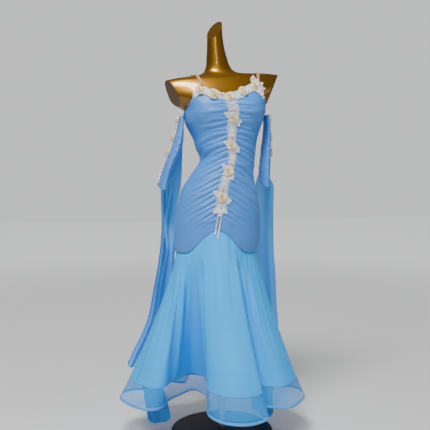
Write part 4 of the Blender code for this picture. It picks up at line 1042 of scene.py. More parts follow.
def build_binding():
    low, along, out = hem_ring()
    rows = []
    for turn in np.linspace(0, 2 * pi, BINDING_SIDES, endpoint=False):
        drop = SKIRT_GAP + BINDING_TALL * (0.5 - 0.5 * np.cos(turn))
        push = 0.0006 + BINDING_HALF * np.sin(turn) * (0.75 + 0.25 * np.sin(turn / 2))
        rows.append(low + along * drop + out * push)
    rows.append(rows[0])
    grid = np.array(rows)
    mesh = grid_mesh("hem_binding_satin", grid, closed=True)
    shape = bmesh.new()
    shape.from_mesh(mesh)
    bmesh.ops.remove_doubles(shape, verts=shape.verts, dist=0.00001)
    bmesh.ops.recalc_face_normals(shape, faces=shape.faces)
    shape.to_mesh(mesh)
    shape.free()
    binding = add_piece("hem_binding_satin", mesh, satin)
    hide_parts("hem_binding")
    return binding


binding = build_binding()

# %% [markdown]
# The arm sleeves are separate: flat tubes that hang from the armpits, open at both ends. They keep
# the press of a folded tube, with slack creases at the elbow and a turned and stitched cuff.

# %% Sleeves
SLEEVE_LEFT_ROWS = ((0, 1.206, -0.1538, 0.0085, 0.030), (1, 1.158, -0.1600, 0.0130, 0.040),
                    (2, 1.120, -0.1660, 0.0170, 0.046), (3, 1.083, -0.1760, 0.0200, 0.050),
                    (4, 1.045, -0.1930, 0.0185, 0.053), (5, 1.000, -0.2120, 0.0165, 0.055),
                    (6, 0.952, -0.2270, 0.0170, 0.056))
SLEEVE_RIGHT_ROWS = ((0, 1.216, 0.1705, 0.0085, 0.030), (1, 1.170, 0.1750, 0.0105, 0.036),
                     (2, 1.130, 0.1740, 0.0120, 0.041), (3, 1.090, 0.1710, 0.0140, 0.045),
                     (4, 1.050, 0.1690, 0.0155, 0.048), (5, 1.005, 0.1660, 0.0170, 0.050),
                     (6, 0.962, 0.1660, 0.0155, 0.050))
SLEEVE_LEVELS, SLEEVE_SIDES = 110, 72
SLEEVE_PRESS, SLEEVE_CUFF = 0.0006, 0.0007
CUFF_START, CUFF_SLANT = 5, 0.020
CUFF_FOLD, CUFF_STITCH, CUFF_SINK = (5.62, 5.66), 5.68, 0.0006
ARMPIT_START, ARMPIT_END, ARMPIT_CLEAR = 0.3, 1.6, 0.0014
CREASES_LEFT = (
    # place along the sleeve, lean round it, half width, height, turn of its middle
    (1.1, 0.20, 0.10, 0.0016, 0.4), (1.9, 0.35, 0.12, 0.0022, 0.2), (2.6, -0.30, 0.11, 0.0024, -0.3),
    (3.3, 0.40, 0.13, 0.0026, 0.1), (4.0, -0.35, 0.12, 0.0022, -0.5), (4.7, 0.25, 0.12, 0.0018, 0.3),
)
CREASES_RIGHT = ((0.9, -0.20, 0.10, 0.0014, -0.3), (1.7, 0.30, 0.12, 0.0018, -0.2),
                 (2.5, -0.35, 0.11, 0.0020, 0.2), (3.2, 0.30, 0.12, 0.0022, -0.1),
                 (3.9, -0.30, 0.12, 0.0020, 0.3), (4.8, 0.20, 0.12, 0.0016, -0.2))


def sleeve_point(rows, along, turn, lift=0.0):
    along, turn = np.broadcast_arrays(np.asarray(along, float), np.asarray(turn, float))
    z, x, half_thick, half_deep = [column(rows, index, along) for index in range(1, 5)]
    slant = CUFF_SLANT * np.maximum(along - CUFF_START, 0) * np.cos(turn)
    return stack(x + (half_thick + lift) * np.sin(turn), -(half_deep + lift) * np.cos(turn), z - slant)


def sleeve_creases(creases, along, turn):
    total = np.zeros(np.broadcast(along, turn).shape)
    for place, lean, half, height, middle in creases:
        level = place + lean * np.sin(turn - middle)
        total += height * np.exp(-((along - level) / half) ** 2) * (0.55 + 0.45 * np.cos(2 * (turn - middle)))
    return total


def build_sleeve(name, rows, creases):
    alongs = np.linspace(0, rows[-1][0], SLEEVE_LEVELS)[:, None]
    turns = np.linspace(0, 2 * pi, SLEEVE_SIDES, endpoint=False)[None, :]
    press = SLEEVE_PRESS * np.cos(2 * turns) ** 8
    cuff = SLEEVE_CUFF * ease(alongs, *CUFF_FOLD) - CUFF_SINK * np.exp(-((alongs - CUFF_STITCH) / 0.02) ** 2)
    free = ease(alongs, ARMPIT_START, ARMPIT_END)
    lift = (sleeve_creases(creases, alongs, turns) + press) * free - ARMPIT_CLEAR * (1 - free) + cuff
    return cloth(name + "_cloth", name, sleeve_point(rows, alongs, turns, lift), jersey, JERSEY_THICK,
                 closed=True, grow=-1)


sleeve_left = build_sleeve("sleeve_left", SLEEVE_LEFT_ROWS, CREASES_LEFT)
sleeve_right = build_sleeve("sleeve_right", SLEEVE_RIGHT_ROWS, CREASES_RIGHT)

# %% [markdown]
# Long floats of soft chiffon hang from the sleeves and trail behind the skirt. A table gives the
# edges of each at every level. Its folds run from the top to the end and deepen on the way down.

# %% Floats
FLOAT_LEFT_FRONT_ROWS = (
    # place, z, outer x, inner x, y, bow
    (0, 1.158, -0.172, -0.143, 0.0417, 0.000), (1, 1.080, -0.184, -0.141, 0.0600, 0.004),
    (2, 0.960, -0.196, -0.148, 0.0490, 0.006), (3, 0.880, -0.203, -0.163, 0.0500, 0.010),
    (4, 0.800, -0.216, -0.172, 0.0600, 0.014), (5, 0.700, -0.206, -0.178, 0.0680, 0.012),
    (6, 0.600, -0.222, -0.180, 0.1100, 0.014), (7, 0.480, -0.236, -0.186, 0.1600, 0.016),
    (8, 0.340, -0.262, -0.208, 0.1900, 0.016), (9, 0.200, -0.292, -0.226, 0.1880, 0.014),
    (10, 0.100, -0.283, -0.196, 0.1500, 0.012), (11, 0.017, -0.276, -0.186, 0.0880, 0.010),
)
FLOAT_LEFT_REAR_ROWS = (
    (0, 0.980, -0.224, -0.200, 0.0569, 0.000), (1, 0.900, -0.222, -0.176, 0.0860, 0.010),
    (2, 0.780, -0.216, -0.160, 0.1200, 0.016), (3, 0.640, -0.224, -0.160, 0.1680, 0.016),
    (4, 0.520, -0.240, -0.170, 0.2140, 0.016), (5, 0.420, -0.256, -0.180, 0.2360, 0.016),
    (6, 0.340, -0.284, -0.204, 0.2400, 0.014), (7, 0.262, -0.325, -0.240, 0.2380, 0.012),
    (8, 0.200, -0.344, -0.302, 0.2360, 0.008),
)
FLOAT_RIGHT_ROWS = (
    (0, 0.992, 0.186, 0.158, 0.0504, 0.000), (1, 0.955, 0.224, 0.152, 0.0660, 0.006),
    (2, 0.880, 0.230, 0.150, 0.0840, 0.012), (3, 0.780, 0.236, 0.154, 0.1040, 0.016),
    (4, 0.680, 0.248, 0.160, 0.1340, 0.016), (5, 0.580, 0.264, 0.172, 0.1600, 0.016),
    (6, 0.460, 0.275, 0.184, 0.1780, 0.016), (7, 0.330, 0.282, 0.200, 0.1720, 0.014),
    (8, 0.200, 0.262, 0.200, 0.1400, 0.012), (9, 0.100, 0.232, 0.170, 0.0920, 0.010),
    (10, 0.020, 0.222, 0.166, 0.0500, 0.008),
)
FLOAT_LEVELS, FLOAT_SIDES = 170, 40
CHIFFON_THICK = 0.0007
ROLLED_HEM = 0.0035
END_ROUND, FLOAT_CLEAR = 0.022, 0.0040
CUFF_LEVELS = (0.90, 0.96)
FOLDS_WIDE = (
    # place across, half width, height, drift on the way down
    (0.20, 0.11, -0.006, 0.06), (0.50, 0.13, 0.006, -0.05), (0.82, 0.10, -0.005, 0.04),
)
FOLDS_NARROW = ((0.26, 0.14, -0.005, 0.05), (0.66, 0.16, 0.005, -0.06))


def float_folds(share, part, folds):
    """Depth of the long folds across a float: a few sharp ridges with rounded valleys."""
    total = np.zeros(np.broadcast(share, part).shape)
    for place, half, height, drift in folds:
        total += height * np.exp(-((share - place - drift * part) / half) ** 2)
    return total * (0.25 + 0.75 * ease(part, 0.0, 0.35))


def build_float(name, rows, folds):
    alongs = np.linspace(0, rows[-1][0], FLOAT_LEVELS)[:, None]
    shares = np.linspace(0, 1, FLOAT_SIDES)[None, :]
    z, outer, inner, y, bow = [column(rows, index, alongs) for index in range(1, 6)]
    part = alongs / rows[-1][0]
    rounded = END_ROUND * (2 * shares - 1) ** 4 * ease(part, 0.90, 1.0)
    clear = FLOAT_CLEAR * ease(z, *CUFF_LEVELS)
    depth = y + clear + bow * np.sin(pi * shares) + float_folds(shares, part, folds)
    grid = stack(outer + (inner - outer) * shares, depth, z + rounded)
    edge = np.minimum(np.minimum(shares, 1 - shares) * np.abs(inner - outer), (1 - part) * z[0])
    rolled = 1 - ease(edge, ROLLED_HEM * 0.6, ROLLED_HEM)
    return cloth(name + "_chiffon", name, grid, chiffon, CHIFFON_THICK,
                 values={"cover": rolled, "line": rolled})


float_left_front = build_float("float_left_front", FLOAT_LEFT_FRONT_ROWS, FOLDS_NARROW)
float_left_rear = build_float("float_left_rear", FLOAT_LEFT_REAR_ROWS, FOLDS_WIDE)
float_right = build_float("float_right", FLOAT_RIGHT_ROWS, FOLDS_WIDE)
print("sleeves and floats made")

# %% [markdown]
# The straps are ribbed skin-coloured elastic. Each is laid over the shoulder by rays from outside,
# so it lies on the form at every place from the front to the back.

# %% Straps
STRAP_WIDTH, STRAP_THICK, STRAP_LIFT, STRAP_REACH = 0.0105, 0.0012, 0.0014, 0.5
STRAP_COLUMNS = 7
STRAP_BACK_PULL, STRAP_DEGREES, STRAP_BACK_STEPS = 1.2, 3, 24
STRAP_ROWS = (
    # start height, x at the front, at the top and at the back, end height at the back
    ("strap_left", 1.3095, -0.089, -0.122, -0.080, 1.226),
    ("strap_right", 1.3235, 0.120, 0.133, 0.090, 1.240),
)


def surface_tree(piece):
    """A tree of a piece's finished surface, for rays."""
    graph = bpy.context.evaluated_depsgraph_get()
    shape = bmesh.new()
    shape.from_mesh(piece.evaluated_get(graph).to_mesh())
    tree = BVHTree.FromBMesh(shape)
    shape.free()
    return tree


def strap_lines(z_start, x_start, x_top, x_back, z_back):
    """Middles of the strap, each with the direction that its ray comes from."""
    lines = []
    for degrees in range(0, 181, STRAP_DEGREES):
        part = degrees / 180
        if part < 0.5:
            x = x_start + (x_top - x_start) * part * 2
        else:
            x = x_top + (x_back - x_top) * (part - 0.5) * STRAP_BACK_PULL
        turn = radians(degrees)
        lines.append((x, z_start, Vector((0, -cos(turn), sin(turn)))))
    last = lines[-1][0]
    for part in np.linspace(0, 1, STRAP_BACK_STEPS + 1)[1:]:
        lines.append((last + (x_back - last) * part, z_start + (z_back - z_start) * part, Vector((0, 1, 0))))
    return lines


def build_strap(name, tree, *row):
    grid = []
    for x, z, toward in strap_lines(*row):
        line = []
        for share in np.linspace(-0.5, 0.5, STRAP_COLUMNS):
            hit = tree.ray_cast(Vector((x + share * STRAP_WIDTH, 0, z)) + toward * STRAP_REACH, -toward)
            line.append(hit[0] + hit[1] * STRAP_LIFT)
        grid.append(line)
    return cloth(name + "_elastic", name, np.array(grid), elastic, STRAP_THICK, grow=-1)


form_tree = surface_tree(form)
strap_left, strap_right = [build_strap(row[0], form_tree, *row[1:]) for row in STRAP_ROWS]
print("straps laid over the shoulders")

# %% [markdown]
# Trim lies on the cloth, so its places come as frames: a point, the way it faces and the way it
# runs. Each frame is read off the band's own surface a millimetre to each side.

# %% Places for trim
TRIM_LIFT = 0.0063
CHEST_RADIUS = 0.150
BODY_MIDDLE = (0, 0.02, 0)
NECK_LACE_DEGREES, NECK_LACE_LEFT = 60, 54
SLEEVE_LACE = (0.15, 5.75)


def front_place(across, z, lift=TRIM_LIFT):
    return body(front_line(z) + np.arcsin(np.asarray(across) / CHEST_RADIUS), z, lift)


def neck_place(below, degrees, lift=TRIM_LIFT - 0.0008):
    turn = np.radians(degrees)
    z = neckline(turn) - below
    return body(turn + front_line(z), z, lift)


def sleeve_place(rows, side):
    def place(across, along, lift=0.0022):
        deep = column(rows, 4, along)
        return sleeve_point(rows, along, side * (pi / 2 + np.arcsin(side * np.asarray(across) / deep)), lift)
    return place


def frames(place, across, along, steps):
    """Points on a band, the way each faces and the way each runs, for arrays of places."""
    across, along = np.broadcast_arrays(np.asarray(across, float), np.asarray(along, float))
    across, along = across.ravel(), along.ravel()
    point = place(across, along)
    side = place(across + steps[0], along) - place(across - steps[0], along)
    run = place(across, along + steps[1]) - place(across, along - steps[1])
    facing = np.cross(side, run)
    facing /= np.linalg.norm(facing, axis=-1, keepdims=True)
    outwards = (point - np.array(BODY_MIDDLE)) * np.array((1, 1, 0))
    flip = np.where(np.sum(facing * outwards, axis=-1) < 0, -1.0, 1.0)[:, None]
    return point, facing * flip, run / np.linalg.norm(run, axis=-1, keepdims=True)


left_place = sleeve_place(SLEEVE_LEFT_ROWS, -1)
right_place = sleeve_place(SLEEVE_RIGHT_ROWS, 1)
print("places for trim are ready")

# %% [markdown]
# One Geometry Nodes group sets every small trim. It puts a motif on each place, stands it on the
# cloth, turns it along the band, and varies its size and its turn a little by a fixed seed.

# %% The trim setter


def make_setter():
    group, inside, outside = new_group(
        "set_trim",
        (("Places", "NodeSocketGeometry", None), ("Motif", "NodeSocketObject", None),
         ("Size", "NodeSocketFloat", 1.0), ("Size spread", "NodeSocketFloat", 0.1),
         ("Turn spread", "NodeSocketFloat", 0.2), ("Seed", "NodeSocketInt", 1),
         ("Finish", "NodeSocketMaterial", None)),
        (("Trim", "NodeSocketGeometry"),), "GeometryNodeTree")

    def spread_value(amount, about, seed_step):
        """A random number for each place, at most an amount away from a middle value."""
        low, high = [math_node(group, sign, about, amount) for sign in ("SUBTRACT", "ADD")]
        seed = math_node(group, "ADD", inside["Seed"], seed_step)
        return new_node(group, "FunctionNodeRandomValue", (2, low), (3, high), ("Seed", seed),
                        data_type="FLOAT").outputs[1]

    def read(name):
        """A direction that the mesh carries at each place."""
        return new_node(group, "GeometryNodeInputNamedAttribute", ("Name", name),
                        data_type="FLOAT_VECTOR").outputs["Attribute"]

    stand = new_node(group, "FunctionNodeAxesToRotation", ("Primary Axis", read("facing")),
                     ("Secondary Axis", read("along")), primary_axis="Z", secondary_axis="X")
    spin = new_node(group, "FunctionNodeAxisAngleToRotation", ("Axis", (0, 0, 1)),
                    ("Angle", spread_value(inside["Turn spread"], 0.0, 3)))
    spun = new_node(group, "FunctionNodeRotateRotation", ("Rotation", stand.outputs["Rotation"]),
                    ("Rotate By", spin.outputs["Rotation"]), rotation_space="LOCAL")
    motif = new_node(group, "GeometryNodeObjectInfo", ("Object", inside["Motif"]))
    scale = math_node(group, "MULTIPLY", inside["Size"], spread_value(inside["Size spread"], 1.0, 7))
    copies = new_node(group, "GeometryNodeInstanceOnPoints", ("Points", inside["Places"]),
                      ("Instance", motif.outputs["Geometry"]), ("Rotation", spun.outputs["Rotation"]),
                      ("Scale", scale))
    mesh = new_node(group, "GeometryNodeRealizeInstances", ("Geometry", copies.outputs["Instances"]))
    finish = new_node(group, "GeometryNodeSetMaterial", ("Geometry", mesh.outputs["Geometry"]),
                      ("Material", inside["Finish"]))
    wire(group, finish.outputs["Geometry"], outside["Trim"])
    return group


trim_setter = make_setter()


def join_frames(*parts):
    return tuple(np.concatenate(items) for items in zip(*parts))


def set_trim(name, places, motif_mesh, material, size=1.0, size_spread=0.08, turn_spread=0.2, seed=1):
    """Sets one motif on every place, and returns the finished piece."""
    points, facing, along = places
    mesh = bpy.data.meshes.new(name + "_places")
    mesh.from_pydata(points.tolist(), [], [])
    for key, value in (("facing", facing), ("along", along)):
        attribute = mesh.attributes.new(key, "FLOAT_VECTOR", "POINT")
        attribute.data.foreach_set("vector", value.astype(float).ravel())
    piece = bpy.data.objects.new(name, mesh)
    motif = bpy.data.objects.new(name + "_motif", motif_mesh)
    collection.objects.link(piece)
    collection.objects.link(motif)
    setter = piece.modifiers.new("Trim", "NODES")
    setter.node_group = trim_setter
    sockets = {item.name: item.identifier for item in trim_setter.interface.items_tree
               if item.in_out == "INPUT"}
    for key, value in (("Motif", motif), ("Size", float(size)), ("Size spread", float(size_spread)),
                       ("Turn spread", float(turn_spread)), ("Seed", seed), ("Finish", material)):
        setter[sockets[key]] = value
    graph = bpy.context.evaluated_depsgraph_get()
    made = bpy.data.meshes.new_from_object(piece.evaluated_get(graph))
    piece.modifiers.clear()
    piece.data = made
    bpy.data.objects.remove(motif)
    made.materials.clear()
    made.materials.append(material)
    return piece


def joined(name, *pieces):
    """One piece from several, with the first one's material slots first."""
    main = pieces[0]
    with bpy.context.temp_override(active_object=main, object=main, selected_objects=list(pieces),
                                   selected_editable_objects=list(pieces)):
        bpy.ops.object.join()
    main.name = name
    return main


def trims_apart(prefix, node, places, seed, *parts):
    """A piece of its own on each place, joined from its parts: a motif, its finish and its spreads."""
    made = []
    for index in range(len(places[0])):
        spot = tuple(item[index:index + 1] for item in places)
        name = f"{prefix}_{index + 1}"
        pieces = [set_trim(name + ending, spot, motif, finish, size, size_spread, turn_spread,
                           seed + 2 * index + step)
                  for ending, motif, finish, size, size_spread, turn_spread, step in parts]
        piece = joined(name, *pieces)
        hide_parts(f"{node}_{index + 1}")
        made.append(piece)
    return made


print("trim setter ready:", trim_setter.name)

# %% [markdown]
# Guipure lace is thick cord stitched into flowers and loops, with open holes between them. Each
# cord is a fine tube. A flower sits in the middle of the band, and scallops run along its edges.

# %% Lace motifs
CORD = 0.00100


def tube(shape, path, radius, sides=5, closed=True):
    """A tube along a path of points, added to a mesh under construction."""
    path = np.array(path, float)
    if closed:
        step = np.roll(path, -1, axis=0) - np.roll(path, 1, axis=0)
    else:
        step = np.gradient(path, axis=0)
    step /= np.linalg.norm(step, axis=-1, keepdims=True)
    side = np.cross(step, (0.0, 0.0, 1.0))
    side /= np.maximum(np.linalg.norm(side, axis=-1, keepdims=True), 1e-9)
    up = np.cross(side, step)
    rings = []
    for index in range(len(path)):
        ring = []
        for turn in np.linspace(0, 2 * pi, sides, endpoint=False):
            ring.append(shape.verts.new(path[index] + radius * (cos(turn) * side[index]
                                                                + sin(turn) * up[index])))
        rings.append(ring)
    count = len(rings)
    for index in range(count if closed else count - 1):
        low, high = rings[index], rings[(index + 1) % count]
        for corner in range(sides):
            after = (corner + 1) % sides
            shape.faces.new((low[corner], high[corner], high[after], low[after]))
    if not closed:
        shape.faces.new(rings[0])
        shape.faces.new(list(reversed(rings[-1])))


def petal_path(turn, near, far, half, count=10):
    """A loop from near to far the middle, in the direction of turn."""
    path = []
    for step in np.linspace(0, 2 * pi, count, endpoint=False):
        reach = near + (far - near) * (0.5 - 0.5 * cos(step))
        wide = half * sin(step) * (0.7 + 0.3 * sin(step / 2) ** 2)
        path.append((reach * cos(turn) - wide * sin(turn), reach * sin(turn) + wide * cos(turn),
                     CORD * (1 + 0.5 * sin(step / 2) ** 2)))
    return path


def flower_motif():
    """Five looped petals round a ring, about 20 mm across."""
    shape = bmesh.new()
    for index in range(5):
        tube(shape, petal_path(2 * pi * index / 5 + 0.26, 0.0030, 0.0098, 0.0036), CORD)
    ring = [(0.0026 * cos(turn), 0.0026 * sin(turn), CORD * 1.3)
            for turn in np.linspace(0, 2 * pi, 8, endpoint=False)]
    tube(shape, ring, CORD * 1.15)
    return finished("lace_flower", shape)


def scallop_motif():
    """A loop with a small eye inside it for the band's edge, about 12 mm across."""
    shape = bmesh.new()
    tube(shape, petal_path(pi / 2, -0.0060, 0.0050, 0.0056, 14), CORD * 1.1)
    tube(shape, [(-0.0066, -0.0056, CORD), (0.0, -0.0030, CORD), (0.0066, -0.0056, CORD)], CORD, closed=False)
    return finished("lace_scallop", shape)


def leaf_motif(length=0.026, half=0.0075, veins=4):
    """A pointed openwork leaf: a corded rim, a rib down its middle and side veins."""
    shape = bmesh.new()
    rim = []
    for step in np.linspace(0, 1, 15):
        rim.append((length * step, half * sin(pi * step ** 0.8) ** 0.9 + 0.0002, CORD * (1 + 1.5 * step)))
    rim += [(x, -y, z) for x, y, z in reversed(rim[1:-1])]
    tube(shape, rim, CORD * 1.15)
    tube(shape, [(length * step, 0, CORD * (1 + 1.5 * step)) for step in np.linspace(0, 0.98, 8)], CORD,
         closed=False)
    for index in range(veins):
        step = 0.16 + 0.70 * index / veins
        for side in (-1, 1):
            end = step + 0.15
            wide = half * sin(pi * end ** 0.8) ** 0.9 * side
            tube(shape, [(length * step, 0, CORD * 1.6), (length * (step + end) / 2, wide * 0.55, CORD * 1.9),
                         (length * end, wide, CORD * 1.6)], CORD * 0.85, closed=False)
    return finished("lace_leaf", shape)


lace_flower, lace_scallop, lace_leaf = flower_motif(), scallop_motif(), leaf_motif()
print("lace motif faces:", len(lace_flower.polygons), len(lace_scallop.polygons), len(lace_leaf.polygons))

# %% [markdown]
# The bands of lace: down the middle of the front, along the neckline, and down the outer edge of
# each sleeve. Leaves of the same lace stick out from beside the rosettes.

# %% Lace bands
FRONT_ROSETTES = (1.190, 1.092, 1.000, 0.905)
FRONT_BUDS = (1.2185, 1.118, 1.0285, 0.9325)
NECK_ROSETTES = (-44, -19, 1, 22, 46)
NECK_BELOW = (0.008, 0.008, 0.008, 0.007, 0.001)
SLEEVE_ROSETTES = (0.25, 1.85, 3.40)
SLEEVE_BUDS = (0.90, 2.70, 4.20)
NECK_BUDS = (-9.0,)
TINY, NECK_TINY, SLEEVE_TINY = (0.001, 0.001), (0.001, 0.5), (0.001, 0.02)
LACE_FRONT = (1.2500, 0.8520)
FRONT_LACE_HALF, SLEEVE_LACE_HALF = 0.0125, 0.0085


def band(place, middle, edges, half, steps=TINY):
    """Frames for the flowers along the middle, and for the scallops at both edges."""
    flowers = frames(place, 0.0, middle, steps)
    rows = [flowers]
    for side in (-1, 1):
        point, facing, along = frames(place, side * half, edges, steps)
        rows.append((point, facing, along * -side))
    return rows


def front_rows():
    length = LACE_FRONT[0] - LACE_FRONT[1]
    middle = np.linspace(LACE_FRONT[0] - 0.004, LACE_FRONT[1] + 0.006, int(length / 0.0185))
    edges = np.linspace(LACE_FRONT[0] - 0.002, LACE_FRONT[1] + 0.002, int(length / 0.0132))
    return band(front_place, middle, edges, FRONT_LACE_HALF)


def neck_rows():
    middle = np.linspace(-NECK_LACE_LEFT + 2, NECK_LACE_DEGREES - 2, 18)
    edges = np.linspace(-NECK_LACE_LEFT, NECK_LACE_DEGREES, 25)
    rows = []
    for below, places, turn in ((0.009, middle, 1), (0.0010, edges, -1), (0.0170, edges, 1)):
        point, facing, along = frames(neck_place, below, places, NECK_TINY)
        rows.append((point, facing, along * turn))
    return rows


def sleeve_rows(place):
    start, end = SLEEVE_LACE
    middle = np.linspace(start + 0.1, end - 0.1, 17)
    edges = np.linspace(start, end, 22)
    return band(place, middle, edges, SLEEVE_LACE_HALF, SLEEVE_TINY)


def lace_band(name, rows, node, seed, scale=1.0):
    flowers = set_trim(name + "_flowers", rows[0], lace_flower, lace, scale, 0.05, 0.25, seed)
    edges = set_trim(name + "_edges", join_frames(*rows[1:]), lace_scallop, lace, scale, 0.04, 0.08, seed + 1)
    piece = joined(name, flowers, edges)
    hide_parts(node)
    return piece


def leaf_frames(place, spots, steps=TINY):
    """Frames for leaves: across, along, turn from the band's run, and lift."""
    parts = []
    for across, along, turn in spots:
        point, facing, run = frames(place, across, along, steps)
        side = np.cross(facing, run)
        parts.append((point + facing * 0.0004, facing, run * cos(turn) + side * sin(turn)))
    return join_frames(*parts)


lace_front = lace_band("lace_front_band", front_rows(), "lace_front", 11)
lace_neck = lace_band("lace_neck_band", neck_rows(), "lace_neckline", 21)
lace_left = lace_band("lace_sleeve_left_band", sleeve_rows(left_place), "lace_sleeve_left", 31, 0.8)
lace_right = lace_band("lace_sleeve_right_band", sleeve_rows(right_place), "lace_sleeve_right", 41, 0.8)
print("lace faces:", [len(piece.data.polygons) for piece in (lace_front, lace_neck, lace_left, lace_right)])

# %% [markdown]
# Lace leaves stick out beside the front rosettes: a small one at the upper left and a bigger pointed
# one at the lower right. The right sleeve has them too, and a triangle of lace leaves climbs the
# right strap.

# %% Lace leaves
FRONT_LEAVES = (
    # across, height, turn from the band's upward run
    (-0.010, 1.196, 1.10), (0.010, 1.186, -1.75), (0.010, 1.181, -2.25),
    (-0.010, 1.099, 1.05), (0.010, 1.088, -1.80), (0.010, 1.083, -2.30),
    (-0.010, 1.006, 1.10), (0.010, 0.994, -1.90), (0.010, 0.990, -2.35),
    (-0.010, 0.912, 0.95), (0.010, 0.902, -1.75), (0.010, 0.897, -2.25),
    (-0.006, 0.866, 2.40), (0.004, 0.860, 3.00), (0.008, 0.866, -2.50),
)
SLEEVE_LEAVES = ((-0.006, 1.95, 1.9), (-0.006, 1.80, 1.35), (-0.006, 3.50, 1.9), (-0.006, 3.35, 1.35),
                 (0.000, 5.60, 0.0))
STRAP_LEAVES = (
    # below the neckline, degrees, turn from the band's run
    (-0.010, 45, 1.75), (-0.010, 48, 1.45), (-0.002, 51, 1.15), (0.002, 53, 0.85),
)
leaves_front = set_trim("lace_leaves_front", leaf_frames(front_place, FRONT_LEAVES), lace_leaf, lace, 0.92,
                        0.12, 0.12, 51)
leaves_right = set_trim("lace_leaves_right", leaf_frames(right_place, SLEEVE_LEAVES, SLEEVE_TINY), lace_leaf,
                        lace, 0.8, 0.1, 0.1, 61)
leaves_strap = set_trim("lace_leaves_strap", leaf_frames(neck_place, STRAP_LEAVES, NECK_TINY), lace_leaf,
                        lace, 1.05, 0.12, 0.1, 71)
lace_front = joined("lace_front_band", lace_front, leaves_front)
lace_right = joined("lace_sleeve_right_band", lace_right, leaves_right)
lace_neck = joined("lace_neck_band", lace_neck, leaves_strap)
print("lace leaves:", len(FRONT_LEAVES) + len(SLEEVE_LEAVES) + len(STRAP_LEAVES))

# %% [markdown]
# A rosette is a strip of cream tulle gathered along one edge and wound up in a spiral. Its free edge
# stands up in ruffles. The spiral is one grid: along the strip, and from its gathered edge to its
# free edge.

# %% Rosettes
ROSETTE_TALL = 0.0105
ROSETTE_TURNS, ROSETTE_RUFFLES = 5.0, 9.0
ROSETTE_STEPS, ROSETTE_LEVELS = 300, 6
HEART_REACH, HEART_TALL = 0.0150, 0.0056
TULLE_THICK = 0.00035


def wound(name, grid, thick):
    """A closed strip from an open grid: its outer face, and its inner face a wall's depth behind it."""
    inner = (grid - outward_normals(grid) * thick)[:, ::-1]
    return grid_mesh(name, np.concatenate([grid, inner], axis=1), closed=True)


def rosette_motif():
    along = np.linspace(0, 1, ROSETTE_STEPS)[:, None]
    up = np.linspace(0, 1, ROSETTE_LEVELS)[None, :]
    turn = 2 * pi * ROSETTE_TURNS * np.sqrt(0.02 + 0.98 * along)
    ruffle = np.sin(turn * ROSETTE_RUFFLES * 0.37 + 2.0 * np.sin(turn * 0.7)) * up
    root = 0.0010 + 0.0092 * along ** 0.75
    lean = 0.0010 + 0.0078 * along
    radius = root + lean * up ** 1.3 + 0.0011 * ruffle
    tall = ROSETTE_TALL * (1 - 0.60 * along ** 1.6)
    z = 0.0006 + tall * (up * (1 - 0.22 * up)) + 0.0010 * ruffle * (1 - 0.3 * along) + 0.0008 * (1 - along)
    twist = turn + 0.10 * np.sin(turn * 5.3) * up
    grid = stack(radius * np.cos(twist), radius * np.sin(twist), np.maximum(z, 0.0005))
    return wound("rosette_strip", grid, TULLE_THICK)


def rosette_heart():
    """A small dome that closes the spiral's foot, so that no gap shows between its turns."""
    turns = np.linspace(0, 2 * pi, 40, endpoint=False)[None, :]
    part = np.linspace(0, 1, 8)[:, None]
    reach = HEART_REACH * part * (1 + 0.05 * np.sin(9 * turns))
    z = HEART_TALL * (1 - part ** 2) + 0.0002
    grid = stack(reach * np.cos(turns), reach * np.sin(turns), z)
    foot = grid[-1:] * np.array((1, 1, 0))
    return grid_mesh("rosette_heart", np.concatenate([grid, foot]), closed=True)


ROSETTE_PARTS = (
    # end of the name, motif, finish, size, size spread, turn spread, seed step
    ("", rosette_motif(), tulle, 1.10, 0.06, 3.0, 0), ("_heart", rosette_heart(), tulle, 1.0, 0.0, 3.0, 0),
)
front_rosettes = trims_apart("tulle_front", "rosette_front",
                             frames(front_place, 0.0, FRONT_ROSETTES, TINY), 101, *ROSETTE_PARTS)
neck_rosettes = trims_apart("tulle_neck", "rosette_neck",
                            frames(neck_place, NECK_BELOW, NECK_ROSETTES, NECK_TINY), 121, *ROSETTE_PARTS)
left_rosettes = trims_apart("tulle_left", "rosette_left",
                            frames(left_place, 0.0, SLEEVE_ROSETTES, SLEEVE_TINY), 141, *ROSETTE_PARTS)
right_rosettes = trims_apart("tulle_right", "rosette_right",
                             frames(right_place, 0.0, SLEEVE_ROSETTES, SLEEVE_TINY), 161, *ROSETTE_PARTS)
print("rosette faces:", len(front_rosettes[0].data.polygons))

# %% [markdown]
# Between the rosettes sit small rosebuds: coral ribbon wound round itself, with its outer petals
# open, and two olive leaves at its foot.

# %% Rosebuds
BUD_TURNS, BUD_STEPS, BUD_LEVELS = 3.2, 72, 5
RIBBON_THICK = 0.0004
SORT_WAY = Vector((1.0, 0.37, 0.11))


def bud_motif():
    along = np.linspace(0, 1, BUD_STEPS)[:, None]
    up = np.linspace(0, 1, BUD_LEVELS)[None, :]
    turn = 2 * pi * BUD_TURNS * along
    flare = 0.5 + 0.5 * np.sin(turn * 1.45)
    radius = 0.0005 + 0.0034 * along + 0.0022 * up ** 2 * along * (0.5 + flare)
    z = 0.0004 + (0.0056 - 0.0030 * along) * up + 0.0008 * flare * up * along
    return wound("bud_strip", stack(radius * np.cos(turn), radius * np.sin(turn), z), RIBBON_THICK)


def sort_shape(shape):
    """Solidify makes its rim in any order, so the parts are sorted to give one mesh in every run."""
    shape.verts.sort(key=lambda vert: vert.co.dot(SORT_WAY))
    shape.edges.sort(key=lambda edge: (edge.verts[0].co + edge.verts[1].co).dot(SORT_WAY))
    shape.faces.sort(key=lambda face: face.calc_center_median().dot(SORT_WAY))


